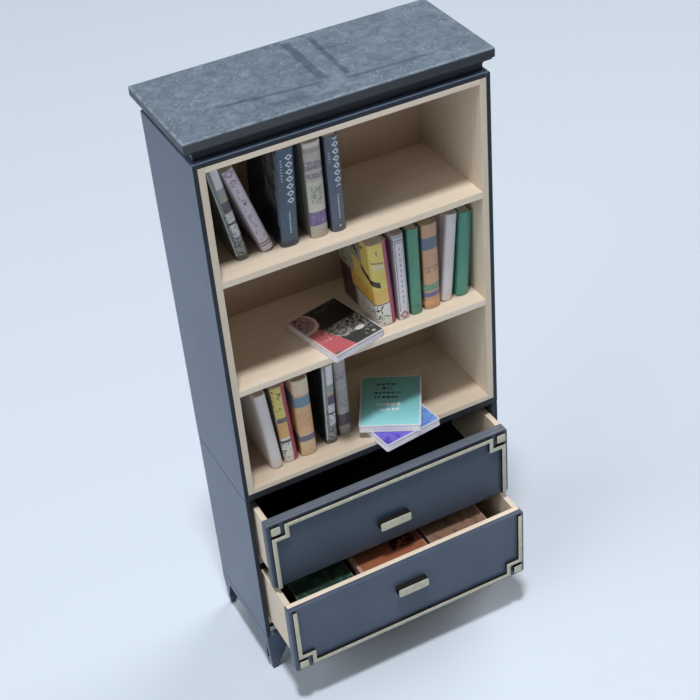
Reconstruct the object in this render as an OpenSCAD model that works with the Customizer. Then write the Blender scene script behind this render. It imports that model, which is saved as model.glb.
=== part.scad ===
// Miniature two-part bookcase at dolls house scale (about 1:12).
// A painted carcass with a pale lined shelf unit on top of a two-drawer base
// that stands on bracket feet. Loose miniature books stand and lie on the
// shelves and in the lower drawer.
// Frame: +Z up, +Y towards the back, +X to the right when seen from the front.
// The origin is on the floor, under the middle of the whole model with the
// drawers part open as they are drawn here.

/* [Carcass] */
// Width of both cabinets over the side boards
carcass_w = 80; // [79:0.5:81]
// Depth of both cabinets
carcass_d = 33; // [32.5:0.5:34]
// Height of the lower cabinet, without plinth
base_h = 54; // [53.9:0.05:54.1]
// Height of the upper cabinet, without cornice
upper_h = 105.4; // [105:0.2:107]
// Thickness of the outer painted boards
board_t = 1.25; // [1.2:0.05:1.3]
// Thickness of the side boards of the base
base_side_t = 1.4; // [1.3:0.05:1.45]

/* [Lining and shelves] */
// Thickness of the pale lining boards
lining_t = 1.75; // [1.6:0.05:1.8]
// Thickness of the two shelves
shelf_t = 1.9; // [1.6:0.1:2]
// Height of the lower shelf's underside above the floor
shelf_low_z = 103.8; // [103.6:0.1:103.9]
// Height of the upper shelf's underside above the floor
shelf_up_z = 138.0; // [137.6:0.1:138.1]
// Thickness of the back panels
back_t = 1.2; // [1:0.1:1.4]

/* [Cornice] */
// Thickness of the top slab
slab_t = 2.6; // [2.2:0.1:3]
// How far the slab stands out past each side
slab_side = 1.5; // [1:0.1:1.6]
// How far the slab stands out past the front
slab_front = 0.1; // [0:0.05:0.4]
// How far the slab stands out past the back
slab_back = 1.8; // [0.5:0.1:1.9]
// Height of the cove under the slab
cove_h = 3.5; // [3.2:0.1:3.8]

/* [Plinth] */
// Height of the plinth, floor to cabinet
plinth_h = 14.2; // [14.2:0.01:14.25]
// Height of the band above the feet
skirt_h = 3.2; // [2.8:0.1:3.6]
// Thickness of the plinth boards
rail_t = 2; // [1.8:0.1:2.2]
// Width of a foot where it leaves the band
foot_w = 7.6; // [7:0.1:8.5]

/* [Drawers] */
// Width of a drawer front
front_w = 76.4; // [76:0.1:76.6]
// Thickness of a drawer front
front_t = 3; // [2.8:0.1:3]
// Height of the upper drawer front
up_front_h = 23.8; // [23.4:0.1:23.8]
// Height of the lower drawer front
low_front_h = 24.6; // [24.2:0.1:24.6]
// Thickness of the drawer box walls
wall_t = 1.6; // [1.4:0.1:1.7]
// Length of the drawer box behind its front
box_d = 27.5; // [26:0.5:27.5]
// How far the lower drawer is drawn out here
low_open = 16.3; // [14:0.1:17]
// How far the upper drawer is drawn out here
up_open = 8; // [7:0.1:9]
// How far the raised trim stands out from a drawer front
trim_t = 0.9; // [0.6:0.05:1]
// Width of the raised trim
trim_w = 1.25; // [1.1:0.05:1.3]
// How far a pull stands out from a drawer front
pull_t = 2.1; // [1.8:0.1:2.3]

/* [Hidden] */

hw = carcass_w / 2;
z_base = plinth_h;
z_mid = z_base + base_h;                 // joint between the two cabinets
z_top = z_mid + upper_h;                 // top of the upper cabinet
z_slab = z_top + cove_h;
back_y = carcass_d - 0.2;                // rear face of the back panels
in_d = back_y - back_t;                  // inside depth
lin_x = hw - board_t - lining_t;         // half width inside the lining
bed_low = z_mid + 2.1 + 1.6;             // top of the bottom lining
bed_mid = shelf_low_z + shelf_t;
bed_top = shelf_up_z + shelf_t;
lin_top_z = z_top - board_t - 1.5;       // underside of the top lining
low_z = z_base + 0.1;                    // bottom of the lower drawer front
low_top = low_z + low_front_h;
up_z = low_top + 1.9;                    // bottom of the upper drawer front
up_top = up_z + up_front_h;
box_x = front_w / 2 - 0.4;               // half width over a drawer box
low_box_z = 20;                          // underside of the lower drawer box
up_box_z = 45.4;                         // underside of the upper drawer box
recess = 2.6;                            // boards set back behind the drawer fronts
base_in = hw - base_side_t;              // half width inside the base
// middle of the whole model, front to back
y_front = -low_open - pull_t;
y_back = carcass_d + slab_back;
yo = -(y_front + y_back) / 2;

slate = [0.42, 0.47, 0.54];
slate_dark = [0.30, 0.34, 0.40];
pale_wood = [0.80, 0.76, 0.66];
olive = [0.66, 0.66, 0.56];

// box from its low corner, moved into the frame
module bx(x0, y0, z0, dx, dy, dz) {
  translate([x0, y0 + yo, z0]) cube([dx, dy, dz]);
}

// outline in X and Z, drawn out along Y from y0 by d
module slab_y(pts, y0, d) {
  translate([0, y0 + yo + d, 0]) rotate([90, 0, 0]) linear_extrude(height = d) polygon(pts);
}

// outline in Y and Z, drawn out along X from x0 by d
module slab_x(pts, x0, d) {
  translate([x0, yo, 0]) rotate([90, 0, 90]) linear_extrude(height = d) polygon(pts);
}

// ---- upper cabinet ----
module upper_side_left() { color(slate) bx(-hw, 0, z_mid, board_t, carcass_d, upper_h); }
module upper_side_right() { color(slate) bx(hw - board_t, 0, z_mid, board_t, carcass_d, upper_h); }
module upper_top_board() { color(slate) bx(-hw + board_t, 0, z_top - board_t, carcass_w - 2 * board_t, carcass_d, board_t); }
module upper_bottom_board() { color(slate_dark) bx(-hw + board_t, 0, z_mid, carcass_w - 2 * board_t, carcass_d, 2.1); }
module lining_left() { color(pale_wood) bx(-hw + board_t, 0, z_mid + 2.1, lining_t, in_d, z_top - board_t - z_mid - 2.1); }
module lining_right() { color(pale_wood) bx(lin_x, 0, z_mid + 2.1, lining_t, in_d, z_top - board_t - z_mid - 2.1); }
module lining_top() { color(pale_wood) bx(-lin_x, 0, lin_top_z, 2 * lin_x, in_d, 1.5); }
module lining_bottom() { color(pale_wood) bx(-lin_x, 0, z_mid + 2.1, 2 * lin_x, in_d, 1.6); }
module shelf_lower() { color(pale_wood) bx(-lin_x, 0, shelf_low_z, 2 * lin_x, in_d, shelf_t); }
module shelf_upper() { color(pale_wood) bx(-lin_x, 0, shelf_up_z, 2 * lin_x, in_d, shelf_t); }
module upper_back_panel() {
  color(slate) bx(-hw + board_t, in_d, z_mid + 2.1, carcass_w - 2 * board_t, back_t, z_top - board_t - z_mid - 2.1);
}

// ---- cornice ----
module cornice_slab() {
  color(slate) bx(-hw - slab_side, -slab_front, z_slab, carcass_w + 2 * slab_side, carcass_d + slab_front + slab_back, slab_t);
}
// points of the hollow curve from the neck (offset 0) out to reach r, rising by r
function cove_pts(n, r) = [for (i = [0 : n]) let (a = 90 * i / n) [r * (1 - cos(a)), r * sin(a)]];
// closed outline of the cove from lo to hi, with neck and reach at both ends
function cove_outline(lo, hi, neck_lo, neck_hi, r) =
  concat(
    [[lo + neck_lo, z_top], [hi - neck_hi, z_top]],
    [for (p = cove_pts(8, r)) [hi - neck_hi + p[0], z_slab - 0.5 - r + p[1]]],
    [[hi - neck_hi + r, z_slab], [lo + neck_lo - r, z_slab]],
    [for (i = [8 : -1 : 0]) let (p = cove_pts(8, r)[i]) [lo + neck_lo - p[0], z_slab - 0.5 - r + p[1]]]
  );
module cornice_cove() {
  color(slate_dark) intersection() {
    slab_y(cove_outline(-hw, hw, 1.1, 1.1, 1.8), 0 - 3, carcass_d + 6);
    slab_x(cove_outline(0, carcass_d, 1.9, 1.1, 1.6), -hw - 4, carcass_w + 8);
  }
}

// ---- lower cabinet ----
module base_side_left() { color(slate) bx(-hw, 0, z_base, base_side_t, carcass_d, base_h); }
module base_side_right() { color(slate) bx(base_in, 0, z_base, base_side_t, carcass_d, base_h); }
module base_top_board() { color(slate_dark) bx(-base_in, recess, z_mid - 2.4, 2 * base_in, in_d - recess, 2.4); }
module base_bottom_board() { color(slate_dark) bx(-base_in, front_t + 0.3, z_base, 2 * base_in, in_d - front_t - 0.3, 1.6); }
module drawer_divider() { color(slate_dark) bx(-base_in, recess, low_top + 0.3, 2 * base_in, in_d - recess, 1.3); }
module base_back_panel() { color(slate) bx(-base_in, in_d, z_base, 2 * base_in, back_t, base_h); }
// a pair of strips that a drawer box slides on
module runners(z0, z1) {
  for (s = [-1, 1]) bx(s < 0 ? -base_in : base_in - 3, front_t + 0.3, z0, 3, in_d - front_t - 0.3, z1 - z0);
}
module lower_runners() { color(pale_wood) runners(z_base + 1.6, low_box_z - 0.15); }
module upper_runners() { color(pale_wood) runners(low_top + 1.6, up_box_z - 0.15); }

// ---- plinth with bracket feet ----
foot_z = plinth_h - skirt_h;
// front outline: band with one foot at each end
function foot_outline(h) = [
  [-h, plinth_h], [-h, foot_z], [-h + 0.6, 0], [-h + 1.9, 0], [-h + foot_w, foot_z],
  [h - foot_w, foot_z], [h - 1.9, 0], [h - 0.6, 0], [h, foot_z], [h, plinth_h]
];
// side outline of the foot's thickness, wide at the band and thin at the tip
function foot_thick(y0, t) = [[y0, plinth_h], [y0, foot_z], [y0 + 0.3, 0], [y0 + t - 0.3, 0], [y0 + t, foot_z], [y0 + t, plinth_h]];
module plinth_board(y0) {
  intersection() {
    slab_y(foot_outline(hw), y0 - 1, rail_t + 2);
    slab_x(foot_thick(y0, rail_t), -hw - 1, carcass_w + 2);
  }
}
module plinth_front() { color(slate) plinth_board(0); }
module plinth_back() { color(slate) plinth_board(carcass_d - rail_t); }
side_a = rail_t;
side_b = carcass_d - rail_t;
// outline of a side board between the front and back boards
side_outline = [
  [side_a, plinth_h], [side_a, foot_z * 0.35], [side_a + 0.4, foot_z * 0.35], [side_a + 2.9, foot_z],
  [side_b - 2.9, foot_z], [side_b - 0.4, foot_z * 0.35], [side_b, foot_z * 0.35], [side_b, plinth_h]
];
module plinth_sides() {
  color(slate) { slab_x(side_outline, -hw, rail_t); slab_x(side_outline, hw - rail_t, rail_t); }
}

// ---- drawers ----
// front board with softly chamfered ends
module drawer_front(y0, z0, fh) {
  h = front_w / 2;
  c = 0.5;
  slab_y([[-h, z0 + c], [-h + c, z0], [h - c, z0], [h, z0 + c], [h, z0 + fh - c], [h - c, z0 + fh], [-h + c, z0 + fh], [-h, z0 + fh - c]], y0, front_t);
}
module drawer_sides(y0, z0, z1) {
  for (s = [-1, 1]) bx(s < 0 ? -box_x : box_x - wall_t, y0 + front_t, z0, wall_t, box_d, z1 - z0);
}
module drawer_cross(y0, z0, z1) { bx(-box_x + wall_t, y0, z0, 2 * (box_x - wall_t), wall_t, z1 - z0); }
module drawer_floor(y0, z0) {
  bx(-box_x + wall_t, y0 + front_t + wall_t, z0, 2 * (box_x - wall_t), box_d - 2 * wall_t, 1.2);
}
// half of the stepped frame: e is the trim line's distance in from the ends,
// zt the outer edge of the long line, dz +1 when the frame opens downwards,
// ze the height at which the side lines stop
module trim_half(s, y0, zt, dz, ze) {
  x0 = front_w / 2 - 1;        // outer edge of the side line
  k = 5.4;                     // width of the corner step
  w = trim_w;
  m = zt - dz * 3.95;          // outer edge of the step's short line
  module o(xa, xb, za, zb) {
    bx(s > 0 ? min(xa, xb) : -max(xa, xb), y0 - trim_t, min(za, zb), abs(xb - xa), trim_t, abs(zb - za));
  }
  union() {
    o(0, x0 - k + w, zt, zt - dz * w);
    o(x0 - k, x0 - k + w, zt, m - dz * w);
    o(x0 - k, x0, m, m - dz * w);
    o(x0 - w, x0, m, ze);
  }
  // square block in the corner
  o(x0 - 2.85, x0 - 0.1, zt, zt - dz * 2.75);
}
module pull(y0, zc) {
  l = 4.9; h = 1.5; c = 0.6;
  slab_y([[-l, zc - h + c], [-l + c, zc - h], [l - c, zc - h], [l, zc - h + c], [l, zc + h - c], [l - c, zc + h], [-l + c, zc + h], [-l, zc + h - c]], y0 - pull_t, pull_t);
}
up_y = -up_open;
low_y = -low_open;
module upper_drawer_front() { color(slate_dark) drawer_front(up_y, up_z, up_front_h); }
module upper_drawer_sides() { color(pale_wood) drawer_sides(up_y, up_box_z, up_top - 0.2); }
module upper_drawer_back() { color(pale_wood) drawer_cross(up_y + front_t + box_d - wall_t, up_box_z, up_top - 0.6); }
module upper_drawer_inner_front() { color(pale_wood) drawer_cross(up_y + front_t, up_box_z, up_top - 3); }
module upper_drawer_bottom() { color(pale_wood) drawer_floor(up_y, up_box_z); }
module upper_drawer_trim() {
  color(olive) for (s = [-1, 1]) trim_half(s, up_y, up_top - 0.7, 1, up_z + 0.1);
}
module upper_drawer_pull() { color(olive) pull(up_y, 48.9); }
module lower_drawer_front() { color(slate_dark) drawer_front(low_y, low_z, low_front_h); }
module lower_drawer_sides() { color(pale_wood) drawer_sides(low_y, low_box_z, low_top); }
module lower_drawer_back() { color(pale_wood) drawer_cross(low_y + front_t + box_d - wall_t, low_box_z, low_top - 0.6); }
module lower_drawer_inner_front() { color(pale_wood) drawer_cross(low_y + front_t, low_box_z, low_top - 3); }
module lower_drawer_bottom() { color(pale_wood) drawer_floor(low_y, low_box_z); }
module lower_drawer_trim() {
  color(olive) for (s = [-1, 1]) trim_half(s, low_y, low_z + 1.4, -1, low_top - 0.5);
}
module lower_drawer_pull() { color(olive) pull(low_y, 29.6); }

// ---- books ----
// upright book: x is the lower corner it stands on (left corner when it leans
// left, right corner when it leans right), a the lean in degrees, w thickness,
// h height, d depth, y0 the front of its rounded spine, bed the shelf's top
module book_up(x, a, w, h, d, y0, bed) {
  r = min(w * 0.34, 1.6);
  n = 6;
  outline = concat(
    [[0, d], [0, r]],
    [for (i = [1 : n - 1]) let (t = 180 * i / n) [w / 2 - w / 2 * cos(t), r - r * sin(t)]],
    [[w, r], [w, d]]
  );
  translate([x, y0 + yo, bed + 0.02]) rotate([0, a, 0])
    translate([a > 0 ? -w : 0, 0, 0]) linear_extrude(height = h) polygon(outline);
}
// lying book: front left corner at x, y, turned by a degrees about Z
module book_flat(x, y, a, w, d, t, z0) {
  translate([x, y + yo, z0]) rotate([0, 0, a]) cube([w, d, t]);
}
module book_top_1() { color([0.62, 0.62, 0.64]) book_up(-30.0, -10.5, 3.4, 28.5, 19, 6.2, bed_top); }
module book_top_2() { color([0.70, 0.64, 0.70]) book_up(-23.1, -17.5, 3.5, 26.5, 19, 6.2, bed_top); }
module book_top_3() { color([0.28, 0.34, 0.42]) book_up(-13.2, 2.5, 5.1, 27.4, 19, 5.0, bed_top); }
module book_top_4() { color([0.66, 0.66, 0.62]) book_up(-10.1, 0, 5.0, 27.2, 19, 4.6, bed_top); }
module book_top_5() { color([0.34, 0.36, 0.44]) book_up(-4.4, 0, 4.2, 27.4, 18, 4.3, bed_top); }

module book_mid_1() { color([0.30, 0.26, 0.26]) book_flat(-10.3, -3.0, 13, 16.9, 21, 2.3, bed_mid + 0.02); }
module book_mid_2() { color([0.80, 0.76, 0.50]) book_up(6.3, -3.5, 5.8, 26.5, 20, 4.2, bed_mid); }
module book_mid_3() { color([0.68, 0.68, 0.74]) book_up(12.3, -1.3, 3.7, 27.3, 19, 4.0, bed_mid); }
module book_mid_4() { color([0.36, 0.52, 0.42]) book_up(16.4, 0, 3.7, 27.3, 19, 4.2, bed_mid); }
module book_mid_5() { color([0.70, 0.62, 0.50]) book_up(20.7, 0, 5.0, 27.0, 19, 4.2, bed_mid); }
module book_mid_6() { color([0.84, 0.84, 0.86]) book_up(29.7, 5.5, 3.5, 27.0, 18, 5.0, bed_mid); }
module book_mid_7() { color([0.36, 0.56, 0.54]) book_up(34.8, 4.2, 3.9, 26.4, 18, 4.8, bed_mid); }

module book_low_1() { color([0.84, 0.84, 0.86]) book_up(-29.4, -5.5, 3.5, 26.6, 20, 4.0, bed_low); }
module book_low_2() { color([0.84, 0.74, 0.50]) book_up(-25.4, -3.5, 4.5, 26.6, 19, 4.6, bed_low); }
module book_low_3() { color([0.70, 0.62, 0.52]) book_up(-20.2, -1, 5.0, 26.4, 19, 4.4, bed_low); }
module book_low_4() { color([0.56, 0.58, 0.60]) book_up(-8.4, 1.5, 3.7, 26.8, 20, 5.4, bed_low); }
module book_low_5() { color([0.60, 0.60, 0.60]) book_up(-7.3, 0, 4.0, 27.2, 18, 6.6, bed_low); }
module book_low_7() { color([0.45, 0.50, 0.74]) book_flat(0.8, -6.2, 7.1, 18.3, 13.6, 2.3, bed_low + 0.02); }
module book_low_6() { color([0.50, 0.72, 0.74]) book_flat(-3.15, 2.8, -29.7, 17.3, 22, 2.3, bed_low + 2.4); }

// books lying in the lower drawer
module drawer_book_1() { color([0.22, 0.30, 0.26]) book_flat(-32, low_y + 5.2, 0, 18, 17, 12, low_box_z + 1.25); }
module drawer_book_2() { color([0.60, 0.40, 0.26]) book_flat(-12.4, low_y + 5, 0, 22, 17, 13.6, low_box_z + 1.25); }
module drawer_book_3() { color([0.50, 0.46, 0.44]) book_flat(10.6, low_y + 5, 0, 19, 17, 13.8, low_box_z + 1.25); }

upper_side_left();
upper_side_right();
upper_top_board();
upper_bottom_board();
lining_left();
lining_right();
lining_top();
lining_bottom();
shelf_lower();
shelf_upper();
upper_back_panel();
cornice_slab();
cornice_cove();
base_side_left();
base_side_right();
base_top_board();
base_bottom_board();
base_back_panel();
drawer_divider();
lower_runners();
upper_runners();
plinth_front();
plinth_back();
plinth_sides();
upper_drawer_front();
upper_drawer_sides();
upper_drawer_back();
upper_drawer_inner_front();
upper_drawer_bottom();
upper_drawer_trim();
upper_drawer_pull();
lower_drawer_front();
lower_drawer_sides();
lower_drawer_back();
lower_drawer_inner_front();
lower_drawer_bottom();
lower_drawer_trim();
lower_drawer_pull();
book_top_1();
book_top_2();
book_top_3();
book_top_4();
book_top_5();
book_mid_1();
book_mid_2();
book_mid_3();
book_mid_4();
book_mid_5();
book_mid_6();
book_mid_7();
book_low_1();
book_low_2();
book_low_3();
book_low_4();
book_low_5();
book_low_6();
book_low_7();
drawer_book_1();
drawer_book_2();
drawer_book_3();
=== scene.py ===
import bpy
import bmesh
import math
import random
from mathutils import Matrix, Vector


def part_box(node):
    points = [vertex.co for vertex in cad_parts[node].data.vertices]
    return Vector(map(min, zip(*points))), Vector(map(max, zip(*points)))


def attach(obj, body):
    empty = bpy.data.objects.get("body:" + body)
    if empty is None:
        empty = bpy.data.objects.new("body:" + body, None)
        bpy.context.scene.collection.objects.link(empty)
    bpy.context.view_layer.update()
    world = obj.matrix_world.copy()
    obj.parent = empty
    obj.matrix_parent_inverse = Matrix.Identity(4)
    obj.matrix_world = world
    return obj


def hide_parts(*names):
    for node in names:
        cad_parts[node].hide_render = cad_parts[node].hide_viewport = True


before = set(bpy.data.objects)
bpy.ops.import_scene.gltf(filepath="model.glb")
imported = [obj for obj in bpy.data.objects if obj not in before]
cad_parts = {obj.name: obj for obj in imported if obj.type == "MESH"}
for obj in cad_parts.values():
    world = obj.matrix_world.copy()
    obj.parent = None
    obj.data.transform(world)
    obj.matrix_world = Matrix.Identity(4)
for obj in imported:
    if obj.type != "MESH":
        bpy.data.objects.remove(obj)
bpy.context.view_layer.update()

MM = 0.001
scene = bpy.context.scene
front_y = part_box("upper_side_left")[0].y          # front plane of the carcass

# ---------------------------------------------------------------- camera
cam = bpy.data.objects.new("camera", bpy.data.cameras.new("camera"))
scene.collection.objects.link(cam)
cam.data.sensor_width = 36
cam.data.lens = 77.79
cam.data.clip_start, cam.data.clip_end = 0.01, 20
c_right = Vector((0.8850337, -0.4593687, -0.0754707))
c_up = Vector((0.333176, 0.511810, 0.791861))
c_fwd = Vector((0.3251294, 0.7259686, -0.6060202))
basis = Matrix((c_right, c_up, -c_fwd)).transposed()
cam.matrix_world = Matrix.Translation((-0.134432, front_y - 0.289448, 0.347464)) @ basis.to_4x4()
scene.camera = cam
scene.view_settings.view_transform = "Standard"


# ---------------------------------------------------------------- colours
def lin(r, g, b, a=1.0):
    """A colour given as 0..255 screen values, as the linear colour a shader takes."""
    out = []
    for v in (r, g, b):
        v = v / 255
        out.append(v / 12.92 if v <= 0.04045 else ((v + 0.055) / 1.055) ** 2.4)
    return (*out, a)


# ---------------------------------------------------------------- node helper
class Mat:
    """A procedural material, built from small steps."""

    def __init__(self, name, rough=0.5, spec=0.5, coat=0.0, coat_rough=0.2, sheen=0.0):
        self.m = bpy.data.materials.new(name)
        self.m.use_nodes = True
        self.t = self.m.node_tree
        self.t.nodes.clear()
        self.out = self.t.nodes.new("ShaderNodeOutputMaterial")
        self.b = self.t.nodes.new("ShaderNodeBsdfPrincipled")
        self.t.links.new(self.b.outputs[0], self.out.inputs[0])
        self.b.inputs["Roughness"].default_value = rough
        self.b.inputs["Specular IOR Level"].default_value = spec
        self.b.inputs["Coat Weight"].default_value = coat
        self.b.inputs["Coat Roughness"].default_value = coat_rough
        self.b.inputs["Sheen Weight"].default_value = sheen
        self._obj = None

    def link(self, a, b):
        self.t.links.new(a, b)

    def obj(self):
        """The piece's own coordinates, in metres."""
        if self._obj is None:
            self._obj = self.t.nodes.new("ShaderNodeTexCoord").outputs["Object"]
        return self._obj

    def attr(self, name):
        n = self.t.nodes.new("ShaderNodeAttribute")
        n.attribute_name = name
        return n.outputs["Vector"]

    def split(self, v):
        n = self.t.nodes.new("ShaderNodeSeparateXYZ")
        self.link(v, n.inputs[0])
        return n.outputs

    def scaled(self, v, sx, sy, sz, off=(0, 0, 0)):
        n = self.t.nodes.new("ShaderNodeMapping")
        self.link(v, n.inputs["Vector"])
        n.inputs["Scale"].default_value = (sx, sy, sz)
        n.inputs["Location"].default_value = off
        return n.outputs[0]

    def noise(self, v, scale=1.0, detail=4, rough=0.55, dist=0.0):
        n = self.t.nodes.new("ShaderNodeTexNoise")
        self.link(v, n.inputs["Vector"])
        n.inputs["Scale"].default_value = scale
        n.inputs["Detail"].default_value = detail
        n.inputs["Roughness"].default_value = rough
        n.inputs["Distortion"].default_value = dist
        return n.outputs["Fac"]

    def voronoi(self, v, scale=1.0, feature="F1", rand=1.0, out="Distance"):
        n = self.t.nodes.new("ShaderNodeTexVoronoi")
        n.feature = feature
        self.link(v, n.inputs["Vector"])
        n.inputs["Scale"].default_value = scale
        n.inputs["Randomness"].default_value = rand
        return n.outputs[out]

    def wave(self, v, scale=1.0, dist=0.0, detail=2, direction="X", kind="BANDS", dscale=1.0):
        n = self.t.nodes.new("ShaderNodeTexWave")
        n.wave_type = kind
        if kind == "BANDS":
            n.bands_direction = direction
        self.link(v, n.inputs["Vector"])
        n.inputs["Scale"].default_value = scale
        n.inputs["Distortion"].default_value = dist
        n.inputs["Detail"].default_value = detail
        n.inputs["Detail Scale"].default_value = dscale
        return n.outputs["Fac"]

    def ramp(self, f, a, b, lo=0.0, hi=1.0):
        n = self.t.nodes.new("ShaderNodeMapRange")
        self.link(f, n.inputs["Value"])
        n.inputs["From Min"].default_value = a
        n.inputs["From Max"].default_value = b
        n.inputs["To Min"].default_value = lo
        n.inputs["To Max"].default_value = hi
        return n.outputs[0]

    def math(self, op, a, b=None):
        n = self.t.nodes.new("ShaderNodeMath")
        n.operation = op
        for i, v in enumerate((a, b)):
            if v is None:
                continue
            if isinstance(v, (int, float)):
                n.inputs[i].default_value = v
            else:
                self.link(v, n.inputs[i])
        return n.outputs[0]

    def mul(self, *f):
        out = f[0]
        for g in f[1:]:
            out = self.math("MULTIPLY", out, g)
        return out

    def band(self, f, a, b, soft):
        """1 where a < f < b, with soft edges."""
        return self.mul(self.ramp(f, a - soft, a + soft), self.ramp(f, b - soft, b + soft, 1.0, 0.0))

    def mix(self, a, b, fac):
        """Colour a where fac is 0 and b where it is 1."""
        n = self.t.nodes.new("ShaderNodeMix")
        n.data_type = "RGBA"
        for s, v in ((6, a), (7, b), (0, fac)):
            if isinstance(v, (int, float)) or isinstance(v, tuple):
                n.inputs[s].default_value = v
            else:
                self.link(v, n.inputs[s])
        return n.outputs[2]

    def colour(self, c):
        if isinstance(c, tuple):
            self.b.inputs["Base Color"].default_value = c
        else:
            self.link(c, self.b.inputs["Base Color"])

    def rough(self, f, lo, hi, a=0.0, b=1.0):
        self.link(self.ramp(f, a, b, lo, hi), self.b.inputs["Roughness"])

    def bump(self, f, height, strength=1.0):
        """height is in metres."""
        n = self.t.nodes.new("ShaderNodeBump")
        n.inputs["Strength"].default_value = strength
        n.inputs["Distance"].default_value = height
        self.link(f, n.inputs["Height"])
        prev = self.b.inputs["Normal"]
        if prev.is_linked:
            self.link(prev.links[0].from_socket, n.inputs["Normal"])
        self.link(n.outputs[0], prev)


# ---------------------------------------------------------------- cabinet materials
SLATE = lin(92, 107, 129)
SLATE_DEEP = lin(84, 99, 120)
SLATE_LIGHT = lin(96, 109, 126)


def slate(name, base=SLATE, deep=SLATE_DEEP, light=SLATE_LIGHT, grain="z", rough=0.42, spec=0.5, streak=0.22, specks=0.10):
    """Satin blue-grey paint brushed on wood: slow mottling, faint brush lines along the grain, worn lighter specks."""
    m = Mat(name, rough=rough, spec=spec)
    o = m.obj()
    slow = m.noise(m.scaled(o, 38, 38, 38), 1.0, 3)
    s = {"x": (40, 900, 900), "y": (900, 40, 900), "z": (900, 900, 40)}[grain]
    brush = m.noise(m.scaled(o, *s), 1.0, 3, 0.6)
    fine = m.noise(m.scaled(o, 2600, 2600, 2600), 1.0, 2, 0.6)
    c = m.mix(base, deep, m.ramp(slow, 0.35, 0.72))
    c = m.mix(c, light, m.mul(m.ramp(brush, 0.50, 0.85), streak))
    speck = m.ramp(m.voronoi(m.scaled(o, 420, 420, 420), 1.0), 0.05, 0.12, 1.0, 0.0)
    c = m.mix(c, lin(138, 150, 164), m.mul(speck, specks))
    m.colour(c)
    calm = 0.25 if streak < 0.15 else 1.0
    m.rough(brush, rough - 0.07 * calm, rough + 0.10 * calm, 0.3, 0.7)
    m.bump(brush, 0.00003, 0.4 * calm)
    m.bump(fine, 0.00002, 0.4)
    return m.m


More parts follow.
